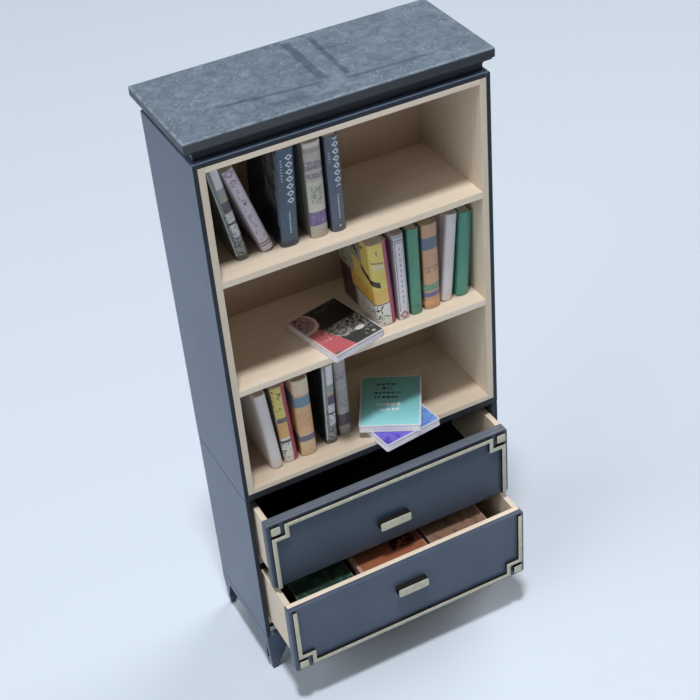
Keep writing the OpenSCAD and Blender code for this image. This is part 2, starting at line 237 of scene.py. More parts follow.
def slab_top():
    """The cornice's top face: the same paint, dry-brushed lighter, speckled, with faint darker bands of painted
    reflection and a thin painted highlight along its front and left edges; its front face is painted darker as painted
    shade, and its edges stay dark.
    """
    m = Mat("slate_paint_dry_brushed", rough=0.5, spec=0.5)
    o = m.obj()
    x, y, z = m.split(o)
    slow = m.noise(m.scaled(o, 45, 45, 45), 1.0, 4, 0.6)
    blotch = m.noise(m.scaled(o, 420, 420, 420), 1.0, 4, 0.7, 0.6)
    brush = m.noise(m.scaled(o, 90, 1300, 900), 1.0, 3, 0.65)
    c = m.mix(lin(90, 105, 119), lin(119, 135, 150), m.ramp(blotch, 0.34, 0.66))
    c = m.mix(c, lin(80, 93, 109), m.ramp(slow, 0.45, 0.7, 0.0, 0.5))
    c = m.mix(c, lin(124, 138, 154), m.ramp(brush, 0.52, 0.80, 0.0, 0.35))
    speck = m.ramp(m.voronoi(m.scaled(o, 1150, 1150, 1150), 1.0), 0.14, 0.34, 1.0, 0.0)
    some = m.ramp(m.noise(m.scaled(o, 260, 260, 260, (3, 1, 7)), 1.0, 2), 0.46, 0.60)
    c = m.mix(c, lin(168, 180, 193), m.mul(speck, some, 0.62))
    # painted reflection: two bands front to back and a line along the front on either side of them, a tone darker, for
    # the reflection of the lamp in the satin top
    lo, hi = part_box("cornice_slab")
    dy = m.math("SUBTRACT", y, front_y)
    wob = m.ramp(m.noise(m.scaled(o, 200, 200, 200), 1.0, 2), 0.0, 1.0, -0.0005, 0.0005)
    x1 = m.math("ADD", m.math("SUBTRACT", x, m.math("MULTIPLY", dy, 0.025)), wob)
    x2 = m.math("ADD", m.math("SUBTRACT", x, m.math("MULTIPLY", dy, 0.041)), wob)
    s1 = m.mul(m.band(x1, -0.0021, 0.0003, 0.00025), m.band(dy, 0.0100, 0.0330, 0.0006))
    s2 = m.mul(m.band(x2, 0.0044, 0.0058, 0.00025), m.band(dy, 0.0090, 0.0325, 0.0006))
    y3 = m.math("ADD", m.math("ADD", dy, m.math("MULTIPLY", x, 0.13)), wob)
    s3 = m.mul(m.band(y3, 0.0076, 0.0088, 0.0003), m.band(x, -0.029, -0.002, 0.002))
    y4 = m.math("ADD", m.math("ADD", dy, m.math("MULTIPLY", x, 0.03)), wob)
    s4 = m.mul(m.band(y4, 0.0068, 0.0078, 0.0003), m.band(x, 0.0045, 0.027, 0.002))
    s5 = m.mul(m.band(dy, 0.0030, 0.0062, 0.0006), m.band(x, -0.0215, -0.0075, 0.0012), 0.55)
    painted_reflection = m.math("MAXIMUM", m.math("MAXIMUM", s1, s2), m.math("MAXIMUM", m.math("MAXIMUM", s3, s4), s5))
    c = m.mix(c, lin(71, 84, 101), m.mul(painted_reflection, m.ramp(blotch, 0.3, 0.7, 0.95, 0.55)))
    pale = m.mul(m.band(x, -0.0065, 0.0035, 0.0006), m.band(dy, 0.0035, 0.0085, 0.0006), m.ramp(blotch, 0.38, 0.6))
    c = m.mix(c, lin(122, 136, 151), m.mul(pale, 0.7))
    # painted highlight: a thin lighter rim along the front and left edges of the top, broken up by the blotches
    rim = m.math("MAXIMUM", m.ramp(dy, lo.y - front_y + 0.0004, lo.y - front_y + 0.0008, 1.0, 0.0), m.ramp(x, lo.x + 0.0004, lo.x + 0.0008, 1.0, 0.0))
    c = m.mix(c, lin(150, 162, 174), m.mul(rim, m.ramp(blotch, 0.35, 0.6), 0.7))
    # the sides of the slab are plain dark paint
    up = m.ramp(z, hi.z - 0.00055, hi.z - 0.0002)
    c = m.mix(m.mix(lin(74, 84, 98), lin(60, 70, 84), m.ramp(slow, 0.35, 0.7)), c, up)
    # painted shade: the front face is painted darker than the sides, darkest towards the right, for the shade on the
    # slab's front
    front = m.mul(m.ramp(dy, lo.y - front_y + 0.0001, lo.y - front_y + 0.0003, 1.0, 0.0), m.ramp(z, hi.z - 0.0005, hi.z - 0.0003, 1.0, 0.0))
    c = m.mix(c, m.mix(lin(60, 63, 69), lin(36, 40, 49), m.ramp(x, -0.02, 0.03)), front)
    m.colour(c)
    m.rough(blotch, 0.40, 0.60, 0.3, 0.7)
    m.bump(blotch, 0.00006, 0.6)
    m.bump(brush, 0.00004, 0.4)
    return m.m


def wood(name, grain, tone=1.0, seed=0.0, shade_warmth=0.0):
    """Bare basswood: fine straight grain, small pores, soft tonal streaks. grain is the axis that it runs along."""
    m = Mat(name, rough=0.62, spec=0.3)
    o = m.scaled(m.obj(), 1, 1, 1, (seed, seed * 0.7, seed * 1.3))
    s = {"x": (24, 700, 700), "y": (700, 24, 700), "z": (700, 700, 24)}[grain]
    f = {"x": (120, 3600, 3600), "y": (3600, 120, 3600), "z": (3600, 3600, 120)}[grain]
    streak = m.noise(m.scaled(o, *s), 1.0, 4, 0.55, 0.2)
    fibre = m.noise(m.scaled(o, *f), 1.0, 3, 0.6)
    slow = m.noise(m.scaled(o, 30, 30, 30), 1.0, 2)
    k = tone
    a, b, d = lin(232 * k, 217 * k, 197 * k), lin(223 * k, 205 * k, 183 * k), lin(198 * k, 172 * k, 144 * k)
    c = m.mix(a, b, m.ramp(streak, 0.36, 0.66, 0.0, 0.7))
    c = m.mix(c, d, m.ramp(fibre, 0.56, 0.80, 0.0, 0.3))
    c = m.mix(c, lin(237 * k, 224 * k, 205 * k), m.ramp(slow, 0.5, 0.75, 0.0, 0.4))
    # painted shade: mixes the wood towards a reddish brown, for boards in the shade of the bays
    if shade_warmth:
        c = m.mix(c, lin(188, 150, 122), shade_warmth)
    m.colour(c)
    m.rough(streak, 0.55, 0.72, 0.3, 0.7)
    m.bump(fibre, 0.00004, 0.5)
    m.bump(streak, 0.00004, 0.4)
    return m.m


def trim_paint():
    """Matt olive-cream paint on laser-cut strip: its front is painted and its cut sides are scorched dark."""
    m = Mat("olive_trim_paint", rough=0.55, spec=0.4)
    o = m.obj()
    blotch = m.noise(m.scaled(o, 520, 520, 520), 1.0, 4, 0.65)
    fine = m.noise(m.scaled(o, 3000, 3000, 3000), 1.0, 2)
    c = m.mix(lin(212, 209, 188), lin(194, 192, 172), m.ramp(blotch, 0.38, 0.64))
    c = m.mix(c, lin(230, 226, 206), m.ramp(fine, 0.58, 0.74, 0.0, 0.45))
    m.colour(c)
    m.bump(blotch, 0.00005, 0.6)
    m.bump(fine, 0.00002, 0.4)
    d = Mat("scorched_cut_edge", rough=0.8, spec=0.15)
    o = d.obj()
    d.colour(d.mix(lin(26, 24, 24), lin(44, 38, 34), d.ramp(d.noise(d.scaled(o, 900, 900, 900), 1.0, 3), 0.4, 0.7)))
    return m.m, d.m


SLATE_Z = slate("slate_paint_upright", grain="z", streak=0.10, specks=0.05)
SLATE_X = slate("slate_paint_across", grain="x")
SLATE_Y = slate("slate_paint_deep", grain="y")
# painted shade: a much darker copy of the slate paint for the front faces of the carcass boards, for the shade on those
# faces
SHADED_EDGE_X = slate("slate_paint_shaded_edges_across", base=lin(36, 42, 54), deep=lin(28, 33, 43), light=lin(52, 58, 70), grain="x", rough=0.5, spec=0.35)
SHADED_EDGE_Z = slate("slate_paint_shaded_edges_upright", base=lin(36, 42, 54), deep=lin(28, 33, 43), light=lin(52, 58, 70), grain="z", rough=0.5, spec=0.35)
# painted shade: a darker, greyer copy of the slate paint for the cove's front and under faces, for the shade under the
# slab
SHADED_COVE = slate("slate_paint_shaded_cove", base=lin(50, 53, 59), deep=lin(40, 43, 50), light=lin(66, 70, 76), grain="x", rough=0.5, spec=0.35)
# painted shade: near-black slate paint for the base's inner boards and the inside of the upper drawer, for the deep
# shade inside the base
SHADED_INSIDE = slate("slate_paint_shaded_inside", base=lin(30, 33, 40), deep=lin(24, 26, 32), light=lin(40, 44, 52), grain="x", rough=0.7, spec=0.2)
# painted shade and painted light: the upper and the lower drawer front take a darker and a lighter copy of one front
# paint, for the shade on the upper front and the light on the lower one
SHADED_FRONT_UP = slate("slate_paint_shaded_upper_front", base=lin(64, 78, 98), deep=lin(56, 69, 88), light=lin(80, 94, 113), grain="x", rough=0.42, spec=0.4, streak=0.3, specks=0.16)
# lighter paint for the top faces of the upper front and the side faces of the fronts' back layer
LIGHTER_FACE_PAINT = slate("slate_paint_lighter_faces", base=lin(106, 114, 126), deep=lin(86, 95, 108), light=lin(128, 136, 146), grain="x", rough=0.45, streak=0.5, specks=0.2)
LIT_FRONT_LOW = slate("slate_paint_lit_lower_front", base=lin(83, 95, 115), deep=lin(73, 85, 104), light=lin(100, 112, 131), grain="x", rough=0.42, spec=0.4, streak=0.3, specks=0.16)
TOP = slab_top()
WOOD_X = wood("bare_wood_across", "x")
WOOD_Z = wood("bare_wood_upright", "z", seed=0.013)
WOOD_Y = wood("bare_wood_deep", "y", seed=0.031)
# painted shade: a darker, redder copy of the bare wood for the inside of the back panel, for the warm shade at the back
# of the bays
SHADED_WOOD_BACK = wood("bare_wood_shaded_back", "z", tone=0.95, seed=0.05, shade_warmth=0.5)
TRIM, BURNT = trim_paint()
CREAM = wood("bare_wood_top_edge", "x", tone=1.05, seed=0.07)


def finish_node(name, mats, bevel=0.00018, pick=None):
    """Gives a CAD board its material and softens its edges with a small rounding."""
    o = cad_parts[name]
    o.data.materials.clear()
    for mt in mats if isinstance(mats, (list, tuple)) else [mats]:
        o.data.materials.append(mt)
    if pick:
        for p in o.data.polygons:
            p.material_index = pick(p.center, p.normal)
    else:
        for p in o.data.polygons:
            p.material_index = 0
    w = o.modifiers.new("weld", "WELD")
    w.merge_threshold = 1e-6
    if bevel:
        b = o.modifiers.new("edge", "BEVEL")
        b.width = bevel
        b.segments = 2
        b.limit_method = "ANGLE"
        b.angle_limit = math.radians(35)
        b.harden_normals = False
    return o


def front_edge(c, nrm):
    return 1 if nrm.y < -0.5 else 0


# painted shade: the boards' front faces take the darker edge paint
for n in ("upper_side_left", "upper_side_right", "base_side_left", "base_side_right"):
    finish_node(n, [SLATE_Z, SHADED_EDGE_Z], bevel=0.0003, pick=front_edge)
for n in ("upper_top_board", "base_top_board", "upper_bottom_board"):
    finish_node(n, [SLATE_X, SHADED_EDGE_X], pick=front_edge)
# painted shade: the base's inner boards take the near-black inside paint
for n in ("base_bottom_board", "drawer_divider"):
    finish_node(n, SHADED_INSIDE)
finish_node("base_top_board", SHADED_INSIDE)
finish_node("base_back_panel", [SLATE_X, SHADED_INSIDE], pick=front_edge)
finish_node("upper_back_panel", [SLATE_Z, SHADED_WOOD_BACK], pick=front_edge)
finish_node("cornice_slab", TOP, bevel=0.0003)
# painted shade: the cove's front and under faces take the darker cove paint
finish_node("cornice_cove", [SLATE_X, SHADED_COVE], bevel=0, pick=lambda c, nrm: 1 if nrm.y < -0.2 or (abs(nrm.x) < 0.3 and nrm.z < -0.2) else 0)
# painted shade: the plinth's front faces take the darker upper-front paint
for n in ("plinth_front", "plinth_back"):
    finish_node(n, [SLATE_X, SHADED_FRONT_UP], pick=front_edge)
finish_node("plinth_sides", [SLATE_Y, SHADED_EDGE_Z], pick=front_edge)
for n in ("lining_left", "lining_right"):
    finish_node(n, WOOD_Z, bevel=0.00012)
# painted light: a lighter copy of the bare wood for the front edges of the linings and shelves, for the light on those
# edges
LIT_WOOD_EDGE = wood("bare_wood_lit_front_edge", "x", tone=1.06, seed=0.09)
# painted shade: a darker, slightly redder copy of the bare wood for the floor of the lowest bay, for the shade there
SHADED_WOOD_FLOOR = wood("bare_wood_shaded_bay_floor", "x", tone=0.94, seed=0.11, shade_warmth=0.12)
for n in ("lining_top", "shelf_lower", "shelf_upper"):
    finish_node(n, [WOOD_X, LIT_WOOD_EDGE], bevel=0.00012, pick=front_edge)
finish_node("lining_bottom", [SHADED_WOOD_FLOOR, LIT_WOOD_EDGE], bevel=0.00012, pick=front_edge)
for n in ("lower_runners", "upper_runners", "upper_drawer_sides", "lower_drawer_sides"):
    finish_node(n, WOOD_Y, bevel=0.00012)
for n in ("lower_drawer_back", "upper_drawer_inner_front", "lower_drawer_inner_front", "lower_drawer_bottom"):
    finish_node(n, WOOD_X, bevel=0.00012)
# painted shade: the upper drawer's inside back and floor take the near-black inside paint
finish_node("upper_drawer_back", [WOOD_X, SHADED_INSIDE], bevel=0.00012, pick=front_edge)
finish_node("upper_drawer_bottom", [WOOD_X, SHADED_INSIDE], bevel=0.00012, pick=lambda c, nrm: 1 if nrm.z > 0.5 else 0)


# ---------------------------------------------------------------- mesh helpers
def new_piece(name, verts, faces, mats, smooth=False):
    me = bpy.data.meshes.new(name)
    me.from_pydata([tuple(v) for v in verts], [], faces)
    me.validate()
    me.update()
    o = bpy.data.objects.new(name, me)
    scene.collection.objects.link(o)
    for mt in mats if isinstance(mats, (list, tuple)) else [mats]:
        me.materials.append(mt)
    for p in me.polygons:
        p.use_smooth = smooth
    return o


def set_point_vec(me, name, fn, domain="POINT"):
    a = me.attributes.new(name, "FLOAT_VECTOR", domain)
    for i, v in enumerate(me.vertices):
        a.data[i].vector = fn(v.co)


def add_bevel(o, width, segments=2, angle=35):
    b = o.modifiers.new("edge", "BEVEL")
    b.width = width
    b.segments = segments
    b.limit_method = "ANGLE"
    b.angle_limit = math.radians(angle)
    return b


def apply_modifiers(o):
    dg = bpy.context.evaluated_depsgraph_get()
    me = bpy.data.meshes.new_from_object(o.evaluated_get(dg), preserve_all_data_layers=True, depsgraph=dg)
    o.modifiers.clear()
    old = o.data
    o.data = me
    bpy.data.meshes.remove(old)


def shade_by_angle(o, deg=30):
    """Smooth shading, with edges sharper than deg kept crisp."""
    me = o.data
    bm = bmesh.new()
    bm.from_mesh(me)
    for e in bm.edges:
        e.smooth = len(e.link_faces) == 2 and e.calc_face_angle(0) < math.radians(deg)
    for f in bm.faces:
        f.smooth = True
    bm.to_mesh(me)
    bm.free()


# ---------------------------------------------------------------- drawer fronts
def drawer_front(node, body, paint, cream_top):
    """A front of two glued layers, with rounded corners and a fine glue line between them."""
    lo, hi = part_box(node)
    layers = [(lo.y, lo.y + 0.00138), (lo.y + 0.00146, hi.y)]
    bm = bmesh.new()
    for k, (ya, yb) in enumerate(layers):
        r, n = 0.0007, 5
        pts = []
        for cx, cz, a0 in ((hi.x - r, hi.z - r, 0), (lo.x + r, hi.z - r, 90), (lo.x + r, lo.z + r, 180), (hi.x - r, lo.z + r, 270)):
            for i in range(n + 1):
                a = math.radians(a0 + 90 * i / n)
                pts.append((cx + r * math.cos(a), cz + r * math.sin(a)))
        fr = [bm.verts.new((p[0], ya, p[1])) for p in pts]
        bk = [bm.verts.new((p[0], yb, p[1])) for p in pts]
        bm.faces.new(fr)
        bm.faces.new(list(reversed(bk)))
        m = len(pts)
        for i in range(m):
            bm.faces.new((fr[i], bk[i], bk[(i + 1) % m], fr[(i + 1) % m]))
    # the glue line: a thin core a little smaller than the layers
    e = 0.00012
    for ya, yb in ((lo.y + 0.0010, lo.y + 0.0018),):
        v = [bm.verts.new(p) for p in ((lo.x + e, ya, lo.z + e), (hi.x - e, ya, lo.z + e), (hi.x - e, ya, hi.z - e), (lo.x + e, ya, hi.z - e),
                                       (lo.x + e, yb, lo.z + e), (hi.x - e, yb, lo.z + e), (hi.x - e, yb, hi.z - e), (lo.x + e, yb, hi.z - e))]
        for f in ((0, 1, 2, 3), (7, 6, 5, 4), (0, 4, 5, 1), (1, 5, 6, 2), (2, 6, 7, 3), (3, 7, 4, 0)):
            bm.faces.new([v[i] for i in f])
    bmesh.ops.recalc_face_normals(bm, faces=bm.faces)
    me = bpy.data.meshes.new(node + "_board")
    bm.to_mesh(me)
    bm.free()
    o = bpy.data.objects.new(node + "_board", me)
    scene.collection.objects.link(o)
    me.materials.append(paint)
    me.materials.append(CREAM)
    me.materials.append(LIGHTER_FACE_PAINT)
    for p in me.polygons:
        back_layer = p.center.y > lo.y + 0.0014
        inner = p.normal.y > 0.5 and p.center.y > hi.y - 0.0001
        top = p.normal.z > 0.9 and back_layer and cream_top
        # the top faces of the upper front and the side faces of the back layer take the lighter paint
        worn = (p.normal.z > 0.6 and not cream_top) or (abs(p.normal.x) > 0.6 and back_layer)
        p.material_index = 1 if (inner or top) else (2 if worn else 0)
    add_bevel(o, 0.00022, 3, 40)
    apply_modifiers(o)
    shade_by_angle(o, 40)
    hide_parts(node)
    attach(o, body)
    return o


drawer_front("upper_drawer_front", "upper_drawer", SHADED_FRONT_UP, False)
drawer_front("lower_drawer_front", "lower_drawer", LIT_FRONT_LOW, True)


# ---------------------------------------------------------------- raised trims and pulls
def relief(name, outlines, y_face, y_back, body, nodes, bevel=0.00012):
    """Flat shapes standing out from a front: painted face, softly rounded edge, scorched cut sides."""
    bm = bmesh.new()
    for pts in outlines:
        fr = [bm.verts.new((x, y_face, z)) for x, z in pts]
        bk = [bm.verts.new((x, y_back, z)) for x, z in pts]
        bm.faces.new(fr)
        bm.faces.new(list(reversed(bk)))
        m = len(pts)
        for i in range(m):
            bm.faces.new((fr[i], bk[i], bk[(i + 1) % m], fr[(i + 1) % m]))
    bmesh.ops.recalc_face_normals(bm, faces=bm.faces)
    me = bpy.data.meshes.new(name)
    bm.to_mesh(me)
    bm.free()
    o = bpy.data.objects.new(name, me)
    scene.collection.objects.link(o)
    me.materials.append(TRIM)
    me.materials.append(BURNT)
    add_bevel(o, bevel, 2, 40)
    apply_modifiers(o)
    for p in o.data.polygons:
        p.material_index = 0 if p.normal.y < -0.35 else 1
    shade_by_angle(o, 40)
    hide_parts(*nodes)
    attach(o, body)
    return o


def round_poly(pts, r, n=3):
    """A closed outline with its convex corners rounded by r."""
    out = []
    m = len(pts)
    for i in range(m):
        p, a, b = Vector(pts[i]), Vector(pts[i - 1]), Vector(pts[(i + 1) % m])
        u, v = (a - p).normalized(), (b - p).normalized()
        s, e = p + u * r, p + v * r
        for k in range(n + 1):
            t = k / n
            q = s * (1 - t) ** 2 + p * 2 * t * (1 - t) + e * t ** 2
            out.append((q.x, q.y))
    return out


def trim(node, body, opens):
    """The stepped frame: opens is -1 when its sides run down from the long line, 1 when they run up."""
    lo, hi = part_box(node)
    w, k = 0.00125, 0.0054
    x0 = (hi.x - lo.x) / 2
    zt = hi.z if opens < 0 else lo.z
    ze = lo.z if opens < 0 else hi.z
    d = -opens
    m = zt - d * 0.00395
    xs, xi = x0 - k, x0 - k + w
    path = [(-x0, ze), (-x0, m), (-xi, m), (-xi, zt), (xi, zt), (xi, m), (x0, m), (x0, ze),
            (x0 - w, ze), (x0 - w, m - d * w), (xs, m - d * w), (xs, zt - d * w), (-xs, zt - d * w), (-xs, m - d * w), (-(x0 - w), m - d * w), (-(x0 - w), ze)]
    outlines = [round_poly(path, 0.00016, 2)]
    for s in (-1, 1):
        a, b = s * (x0 - 0.00285), s * (x0 - 0.0001)
        za, zb = zt, zt - d * 0.00275
        outlines.append(round_poly([(a, za), (b, za), (b, zb), (a, zb)], 0.00045, 4))
    cx = (hi.x + lo.x) / 2
    outlines = [[(x + cx, z) for x, z in pts] for pts in outlines]
    return relief(node + "_strip", outlines, lo.y, hi.y, body, [node])


trim("upper_drawer_trim", "upper_drawer", -1)
trim("lower_drawer_trim", "lower_drawer", 1)


def pull(node, body):
    """A bar pull: rounded block with a slightly crowned face and scorched sides."""
    lo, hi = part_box(node)
    cx, cz = (lo.x + hi.x) / 2, (lo.z + hi.z) / 2
    L, H = (hi.x - lo.x) / 2, (hi.z - lo.z) / 2
    r, n = 0.0006, 5
    ring = []
    for sx, sz, a0 in ((1, 1, 0), (-1, 1, 90), (-1, -1, 180), (1, -1, 270)):
        for i in range(n + 1):
            a = math.radians(a0 + 90 * i / n)
            ring.append((sx * (L - r) + r * math.cos(a), sz * (H - r) + r * math.sin(a)))
    stations = [(1.0, 0.0, 0), (1.0, 0.82, 0), (0.985, 0.93, 0), (0.94, 0.985, 0), (0.80, 1.0, 0)]
    D = hi.y - lo.y
    verts, faces = [], []
    for s, t, _ in stations:
        for x, z in ring:
            # shrink by the same amount all round, not in proportion
            k = (1 - s) * H
            verts.append((cx + x - math.copysign(min(abs(x), k), x), hi.y - D * t, cz + z - math.copysign(min(abs(z), k), z)))
    m = len(ring)
    for j in range(len(stations) - 1):
        for i in range(m):
            a, b = j * m + i, j * m + (i + 1) % m
            faces.append((a, b, b + m, a + m))
    faces.append(tuple(range(m)))
    faces.append(tuple(reversed(range((len(stations) - 1) * m, len(stations) * m))))
    o = new_piece(node + "_bar", verts, faces, [TRIM, BURNT])
    bm = bmesh.new()
    bm.from_mesh(o.data)
    bmesh.ops.recalc_face_normals(bm, faces=bm.faces)
    bm.to_mesh(o.data)
    bm.free()
    for p in o.data.polygons:
        p.material_index = 0 if p.normal.y < -0.5 else 1
    shade_by_angle(o, 35)
    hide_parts(node)
    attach(o, body)
    return o


pull("upper_drawer_pull", "upper_drawer")
pull("lower_drawer_pull", "lower_drawer")


# ---------------------------------------------------------------- books
def ink(r, g, b):
    """A printed colour: the tones below are set down as they look in the shade of a bay, and brightened here."""
    c = lin(r, g, b)[:3]
    k = min(1.5, 0.84 / max(c))
    return (*[v * k for v in c], 1.0)


def ink_flat(r, g, b):
    """The same for covers that lie in the light."""
    c = lin(r, g, b)[:3]
    k = min(1.3, 0.84 / max(c))
    return (*[v * k for v in c], 1.0)


def art_layers(m, base, layers, h):
    """Paints flat printed shapes over a base. u runs round the cover in mm from the middle of the spine, v up it in mm."""
    u, v, side = m.split(m.attr("art"))
    c = base
    for L in layers:
        kind, col = L[0], L[1]
        if kind == "band":           # v0, v1 as shares of the height
            f = m.band(v, L[2] * h, L[3] * h, 0.08)
        elif kind == "rect":         # u0, u1 in mm, v0, v1 as shares
            f = m.mul(m.band(u, L[2], L[3], 0.08), m.band(v, L[4] * h, L[5] * h, 0.08))
        elif kind == "slant":        # as rect, with its v edges falling by L[6] mm per mm of u
            w = m.math("SUBTRACT", v, m.math("MULTIPLY", u, L[6]))
            f = m.mul(m.band(u, L[2], L[3], 0.08), m.band(w, L[4] * h, L[5] * h, 0.1))
        elif kind == "blots":        # irregular printed marks inside a rect: L[6] scale, L[7] threshold
            inside = m.mul(m.band(u, L[2], L[3], 0.1), m.band(v, L[4] * h, L[5] * h, 0.1))
            f = m.mul(inside, m.ramp(m.noise(m.scaled(m.attr("art"), 1, 1, 0, (L[8], 0, 0)), L[6], 3, 0.6, 0.8), L[7], L[7] + 0.05))
        elif kind == "lines":        # thin scribbled contour lines inside a rect
            inside = m.mul(m.band(u, L[2], L[3], 0.1), m.band(v, L[4] * h, L[5] * h, 0.1))
            n = m.noise(m.scaled(m.attr("art"), 1, 1, 0, (L[8], 0, 0)), L[6], 2, 0.5, 1.0)
            f = m.mul(inside, m.band(n, L[7] - 0.012, L[7] + 0.012, 0.008))
        elif kind == "lozenges":     # a column of outlined lozenges: L[6] pitch in mm, L[7] half width in mm
            inside = m.band(v, L[4] * h, L[5] * h, 0.05)
            t = m.math("ABSOLUTE", m.math("SUBTRACT", m.math("FRACT", m.math("DIVIDE", v, L[6])), 0.5))
            uu = m.math("ABSOLUTE", m.math("SUBTRACT", u, (L[2] + L[3]) / 2))
            r = m.math("ADD", m.math("MULTIPLY", t, 2.0), m.math("DIVIDE", uu, L[7]))
            f = m.mul(inside, m.band(r, 0.42, 0.86, 0.05))
        elif kind == "dashes":       # a column of small dashes: L[6] pitch in mm
            inside = m.mul(m.band(u, L[2], L[3], 0.05), m.band(v, L[4] * h, L[5] * h, 0.05))
            t = m.math("FRACT", m.math("DIVIDE", v, L[6]))
            f = m.mul(inside, m.band(t, 0.2, 0.72, 0.06))
        elif kind == "streaks":      # feathery streaks fanning up a cover
            inside = m.mul(m.band(u, L[2], L[3], 0.6), m.band(v, L[4] * h, L[5] * h, 1.5))
            bent = m.math("ADD", u, m.math("MULTIPLY", m.math("MULTIPLY", v, v), 0.012))
            n = self_noise(m, bent, v, L[6])
            f = m.mul(inside, m.ramp(n, 0.50, 0.60))
        elif kind == "grade":        # a slow change of colour from v0 to v1
            f = m.ramp(v, L[2] * h, L[3] * h)
        elif kind == "gradeu":       # a slow change of colour from u0 to u1 in mm
            f = m.ramp(u, L[2], L[3])
        f = m.mul(f, L[-1]) if isinstance(L[-1], float) and kind in ("grade", "gradeu", "blots", "lines", "streaks") and L[-1] <= 1.0 else f
        c = m.mix(c, col, f)
    return c


def self_noise(m, bent, v, scale):
    n = m.t.nodes.new("ShaderNodeCombineXYZ")
    m.link(m.math("MULTIPLY", bent, 2.2), n.inputs[0])
    m.link(m.math("MULTIPLY", v, 0.16), n.inputs[1])
    return m.noise(n.outputs[0], scale, 3, 0.6)


def cover_material(name, base, layers, h, rough=0.32, worn=0.5):
    """Printed card under thin gloss: the art, a little ink mottling, worn pale edges and soft scuffs."""
    m = Mat(name, rough=rough, spec=0.5, coat=0.15, coat_rough=0.18)
    c = art_layers(m, base, layers, h)
    o = m.obj()
    mott = m.noise(m.scaled(o, 900, 900, 900), 1.0, 4, 0.65)
    c = m.mix(c, ink(40, 40, 44), m.ramp(mott, 0.56, 0.80, 0.0, 0.22))
    c = m.mix(c, ink(226, 224, 220), m.ramp(mott, 0.24, 0.42, 0.16, 0.0))
    u, v, edge = m.split(m.attr("art"))
    c = m.mix(c, ink(196, 190, 180), m.mul(edge, m.ramp(mott, 0.42, 0.58), worn))
    m.colour(c)
    m.rough(mott, rough - 0.08, rough + 0.14, 0.3, 0.7)
    m.bump(m.noise(m.scaled(o, 2400, 2400, 2400), 1.0, 2), 0.00002, 0.5)
    m.bump(mott, 0.00003, 0.35)
    return m.m


def pages_material(name, tint, axis, deep=0.84):
    """A block of paper: hair-fine leaves seen edge on, stacked along axis."""
    m = Mat(name, rough=0.75, spec=0.2)
    o = m.obj()
    s = {"x": (9000, 160, 160), "z": (160, 160, 9000)}[axis]
    leaf = m.noise(m.scaled(o, *s), 1.0, 3, 0.7)
    slow = m.noise(m.scaled(o, 260, 260, 260), 1.0, 3)
    k = [c for c in tint]
    c = m.mix(lin(*k), lin(*[v * deep for v in k]), m.ramp(leaf, 0.47, 0.70))
    c = m.mix(c, lin(k[0] * 0.92, k[1] * 0.88, k[2] * 0.80), m.ramp(slow, 0.5, 0.75, 0.0, 0.4 if deep < 0.9 else 0.1))
    m.colour(c)
    m.bump(leaf, 0.00008, 0.8)
    return m.m


def upright_cover(w, h, d, tb, bulge):
    """Cover of an upright book about its own middle: two boards joined by a rounded spine, as one bent sheet of thickness tb.
    Returns the outer and the inner outline in the XY plane, both from the left fore-edge round the spine to the right one."""
    hw, hd = w / 2, d / 2
    yb = -hd + bulge
    groove = 0.14
    outer = [(-hw, hd), (-hw, yb + 2.2), (-hw, yb + 1.35), (-hw + groove, yb + 1.0), (-hw + groove, yb + 0.7), (-hw, yb + 0.32)]
    n = 14
    for i in range(n + 1):
        a = math.pi * i / n
        # a superellipse: rounded shoulders with a fuller back
        cx, sx = math.cos(a), math.sin(a)
        outer.append((-hw * math.copysign(abs(cx) ** 0.85, cx), yb - bulge * abs(sx) ** 0.8))
    outer += [(hw, yb + 0.32), (hw - groove, yb + 0.7), (hw - groove, yb + 1.0), (hw, yb + 1.35), (hw, yb + 2.2), (hw, hd)]
    inner = []
    m = len(outer)
    for i, p in enumerate(outer):
        a = Vector(outer[max(i - 1, 0)])
        b = Vector(outer[min(i + 1, m - 1)])
        t = (b - a).normalized()
        nrm = Vector((-t.y, t.x))      # to the inside, as the outline runs round the spine
        q = Vector(p) + nrm * tb
        inner.append((max(-hw + tb, min(hw - tb, q.x)), q.y))
    return outer, inner


